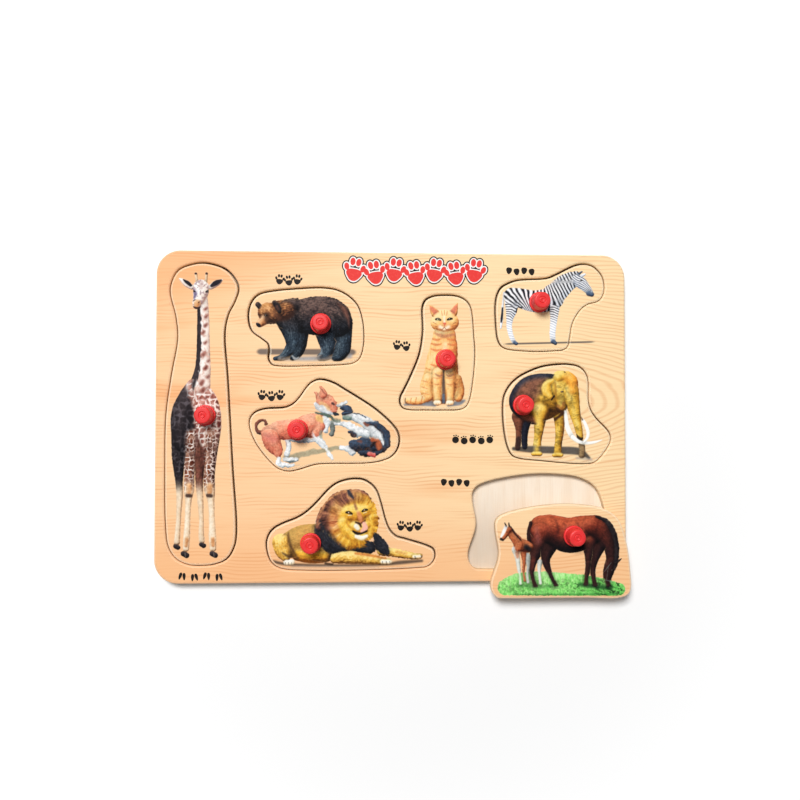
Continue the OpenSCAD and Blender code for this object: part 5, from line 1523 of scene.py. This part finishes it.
def paintGiraffe(art):
    limb, glaze, mark, marks, eye = held(art, paintLimb, paintGlaze, paintMark, paintMarks, paintEye)
    white, night, rust, cream, knee, *_ = giraffeLook.values()
    hindLegs = (([(-134, -12, 6.0), (-135.2, -26, 4.2), (-134.8, -40, 2.5), (-134.4, -50, 2.0),
                  (-134.8, -62, 1.5), (-135.4, -72, 1.6), (-135.8, -79, 1.9)], (-136, -82)),
                ([(-121.4, -14, 5.2), (-122, -28, 3.4), (-122.2, -42, 2.4), (-121.4, -54, 1.8),
                  (-120.8, -64, 1.4), (-120.8, -72, 1.6), (-120.4, -78.4, 1.8)], (-120, -81)))
    for rows, (x, y) in hindLegs:
        limb(rows, rust, -0.1, pattern=shanked(patched(3.2, 0.2, seed=35, strength=0.6)))
        limb([(x - 0.6, y + 0.6, 1.6), (x + 0.8, y - 0.2, 1.6)], night, fur=0.15)
    limb([(-127, 20, 3.4), (-129, 12, 6.4), (-130.6, 3, 9), (-131, -6, 9.4), (-131, -15, 8.2)], white, -0.02,
         pattern=patched(4.2, 0.18), fur=0.14)
    limb([(-120.6, 16, 5), (-118.6, 8, 7.8), (-117.6, -1, 8.8), (-117, -10, 7.8), (-117, -16, 5.8)], white,
         0.06, pattern=patched(3.5, 0.24, strength=1.15), feather=2.2, fur=0.12, shadow=0.1)
    frontLegs = (([(-127.4, -12, 5.0), (-128.2, -24, 4.4), (-128.4, -36, 3.2), (-128.6, -46, 3.2),
                   (-129, -54, 1.9), (-129.4, -66, 1.7), (-129.8, -76, 2.1), (-130.2, -83, 1.9)],
                  (-130.8, -87)),
                 ([(-115, -12, 5.6), (-116, -24, 4.8), (-116.2, -36, 3.7), (-115.8, -46, 3.4),
                   (-114.8, -54, 2.0), (-114.2, -66, 1.8), (-113.8, -76, 2.3), (-113.4, -83, 2.0)],
                  (-113, -87)))
    for rows, (x, y) in frontLegs:
        limb(rows, white, pattern=shanked(patched(2.8, 0.11, "rust", False, 41, 1.25)), feather=4.0, fur=0.3)
        kx, ky = rows[3][:2]
        glaze([(kx, ky + 2.4, 2.6), (kx, ky - 1.4, 2.4)], knee, 0.06, feather=2.0)
        mark([(kx - 1.2, ky - 3.8, 1.1), (kx + 1, ky - 4, 1.1)], (54, 34, 28), 0.85, 0.6)
        glaze([(rows[6][0], rows[6][1] - 1, 1.8), (rows[7][0], rows[7][1] + 2, 1.6)], knee, feather=1.4)
        limb([(x - 0.9, y + 0.9, 1.8), (x + 1, y - 0.2, 1.8)], night, fur=0.15)
        mark([(x, y + 1.4, 0.25), (x + 0.3, y - 1.2, 0.25)], (130, 120, 112), 0.7, 0.2)
    for x, y in ((-128, -21), (-116, -19), (-122, -30)):
        mark([(x - 1, y + 4, 0.6), (x, y - 3, 0.8)], (74, 42, 36), 0.5, 1.0)
    glaze([(-122.2, 20, 6.4), (-120.6, 30, 4.9), (-120.4, 42, 4.2), (-120.5, 55, 3.9), (-120.7, 66, 3.7),
           (-121.4, 74, 3.5)], white, 0.06, pattern=neckCoat, feather=2.6, fur=0.12)
    spots = ((-118.6, 63.2, 1.0), (-118.9, 57.6, 1.1), (-120.6, 53, 1.1), (-119, 46.6, 0.9),
             (-120.2, 39.4, 1.5), (-118.8, 30.6, 1.2), (-121, 21.4, 1.5), (-120.4, 16.6, 1.5),
             (-122, 11.6, 1.1), (-118.4, 11.8, 1.1), (-114.4, 13, 1.3), (-117.4, 25, 0.9), (-119, 68, 0.8),
             (-117, 35, 0.8))
    for x, y, size in spots:
        deep = 0.55 + 0.4 * latticeNoise(np.array([x * 3.3]), np.array([y * 3.3]), 9)[0]
        mark([(x - 0.5, y - 0.5 * size, size), (x + 0.5, y + 0.5 * size, 0.8 * size)], (134, 66, 54), deep,
             1.0)
        mark([(x, y - 0.3 * size, 0.4 * size)], (84, 38, 38), 0.6 * deep, 0.6)
    limb([(-128, 81.6, 1.6), (-131.4, 84, 2), (-135.4, 86.8, 0.5)], white, -0.02, fur=0.14)
    mark([(-128.6, 83, 1.1), (-130.8, 85, 1.4), (-132.8, 86.4, 0.7)], (22, 20, 28), 0.95, 0.35)
    limb([(-116, 81.6, 1.6), (-112.4, 84.2, 2), (-108.8, 86.4, 0.5)], white, -0.1, fur=0.14)
    mark([(-115.4, 82.6, 1), (-112.4, 84.8, 1.7), (-109.8, 86.2, 0.8)], (24, 22, 32), 0.95, 0.35)
    for x, lean in ((-124.4, -1.0), (-119.2, 0.5)):
        limb([(x, 83.6, 1), (x + lean * 0.6, 87.4, 0.8), (x + lean, 90.2, 0.9)], cream, -0.1, fur=0.14)
        mark([(x + lean, 90.6, 1)], (60, 40, 38), 0.95)
    limb([(-122, 81.4, 5), (-122.2, 78.4, 4.9), (-123, 74.6, 3.9), (-124.2, 71.8, 3.1), (-124.8, 70, 2.4)],
         white, 0.06, pattern=freckled, fur=0.14)
    glaze([(-124.4, 71.6, 2.7), (-125, 70, 2.2)], knee, -0.02, feather=1.4, fur=0.16)
    mark([(-126.8, 79.4, 1), (-125.6, 77.4, 1.2), (-126.6, 74.6, 0.8)], (98, 88, 128), 0.75, 0.7)
    mark([(-122, 84.6, 1.6), (-122, 81, 0.9)], (196, 158, 150), 0.5, 0.8)
    marks([[(-124.4, 83), (-123.2, 82)], [(-119.6, 83.4), (-120.6, 82)], [(-120.4, 75.4), (-119.6, 74)],
           [(-119.4, 77), (-118.4, 75.8)]], 0.5, (170, 122, 112), 0.7, 0.3)
    eye(-126.8, 79, 1.0, (16, 12, 14), (36, 28, 30), -0.3)
    eye(-117.6, 79, 1.3, (16, 12, 14), (36, 28, 30), 0.35)
    marks([[(-127, 72.8), (-125.8, 73.6)], [(-123.8, 71.6), (-123.2, 72.2)]], 0.6, (60, 36, 28))
    mark([(-127, 69.2, 0.4), (-125, 68.3, 0.7), (-122.6, 68.9, 0.4)], (56, 34, 32), 0.95)


painters = dict(
    giraffe=paintGiraffe, bear=paintBear, cat=paintCat, zebra=paintZebra, dogs=paintDogs,
    elephant=paintElephant, lion=paintLion, horses=paintHorses)


# Grain sizes of a fine speckle in millimetres and its strength, and the colour before any paint
speckle = dict(fine=0.55, coarse=1.3, strength=0.5)
bareColour = 235.0


# Painted colours and cover of a picture at given places, with the speckle least on white
def painted(paint):
    def colours(x, y):
        art = dict(x=x, y=y, colour=np.full((len(x), 3), bareColour), ink=np.zeros(len(x)))
        paint(art)
        fine = latticeNoise(x / speckle["fine"], y / speckle["fine"], 3)
        coarse = latticeNoise(x / speckle["coarse"], y / speckle["coarse"], 4)
        speck = 0.5 * fine + 0.5 * coarse - 0.5
        shade = 1 + speckle["strength"] * speck * (1.1 - art["colour"].mean(1) / 255)
        return linear(np.clip(art["colour"] * shade[:, None], 0, 255)), np.clip(art["ink"], 0, 1)
    return colours


printTracks()
for animal in animals:
    makeBlank(animal)
    makePicture(animal, painted(painters[animal]))
    makePeg(animal)
print("picture pieces made:", len(animals))


# Stage: floor, light and camera

floorLook = dict(size=6.0, colour=(252, 252, 252), rings=((0.17, 0.4, 0.16), (0.5, 2.5, 0.9)))


def makeFloor():
    half = floorLook["size"] / 2
    mesh = bpy.data.meshes.new("floor")
    corners = [(-half, -half, 0), (half, -half, 0), (half, half, 0), (-half, half, 0)]
    mesh.from_pydata(corners, [], [(0, 1, 2, 3)])
    floor = bpy.data.objects.new("floor", mesh)
    scene.collection.objects.link(floor)
    material, tree, shader, place = newMaterial("floorWhite", Roughness=0.9, Specular_IOR_Level=0.0)
    shader.inputs["Base Color"].default_value = rgba(*floorLook["colour"])
    seen = addNode(tree, "ShaderNodeLightPath").outputs
    direct = math(tree, "MAXIMUM", seen["Is Camera Ray"], math(tree, "MAXIMUM", seen["Is Glossy Ray"],
                                                             seen["Is Transmission Ray"]))
    shader.inputs["Emission Color"].default_value = (1, 1, 1, 1)
    reach = addNode(tree, "ShaderNodeVectorMath", {0: place}, operation="LENGTH").outputs["Value"]
    near, far = (ranged(tree, reach, start, end, 0.0, glow) for start, end, glow in floorLook["rings"])
    glow = math(tree, "ADD", near, far)
    tree.links.new(math(tree, "MULTIPLY", direct, glow), shader.inputs["Emission Strength"])
    mesh.materials.append(material)


studio = dict(sky=0.22, lamp=96.5, size=1.05, place=(-0.7, 1.34, 2.76))


def makeLight():
    world = bpy.data.worlds.new("studio")
    scene.world = world
    world.use_nodes = True
    tree = world.node_tree
    seen = addNode(tree, "ShaderNodeLightPath").outputs
    direct = math(tree, "MAXIMUM", seen["Is Camera Ray"], seen["Is Transmission Ray"])
    sky = tree.nodes["Background"]
    sky.inputs["Color"].default_value = (1, 1, 1, 1)
    tree.links.new(ranged(tree, direct, 0.0, 1.0, studio["sky"], 1.0), sky.inputs["Strength"])
    lamp = bpy.data.lights.new("softbox", "AREA")
    lamp.energy = studio["lamp"]
    lamp.size = studio["size"]
    lampObject = bpy.data.objects.new("softbox", lamp)
    lampObject.location = studio["place"]
    lampObject.rotation_euler = (-Vector(studio["place"])).to_track_quat("-Z", "Y").to_euler()
    scene.collection.objects.link(lampObject)
    scene.view_settings.view_transform = "Standard"


# The camera looks down on the tray: the tray's turn and shift as seen, and the lens
view = dict(turn=(-1.43, 2.86, -0.16), shift=(-4 * mm, -10.6 * mm), distance=520 * mm, lens=36.72,
            sensor=36.0, clip=(0.01, 20))


def makeCamera():
    turn = Euler(np.radians(view["turn"]), "XYZ").to_matrix()
    face = Vector((0, 0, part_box("frame_print")[1].z))
    place = turn.transposed() @ Vector((-view["shift"][0], -view["shift"][1], view["distance"])) + face
    camera = bpy.data.cameras.new("camera")
    camera.lens, camera.sensor_width = view["lens"], view["sensor"]
    camera.clip_start, camera.clip_end = view["clip"]
    holder = bpy.data.objects.new("camera", camera)
    holder.matrix_world = Matrix.Translation(place) @ turn.transposed().to_4x4()
    scene.collection.objects.link(holder)
    scene.camera = holder


makeFloor()
makeLight()
makeCamera()
print("stage made")
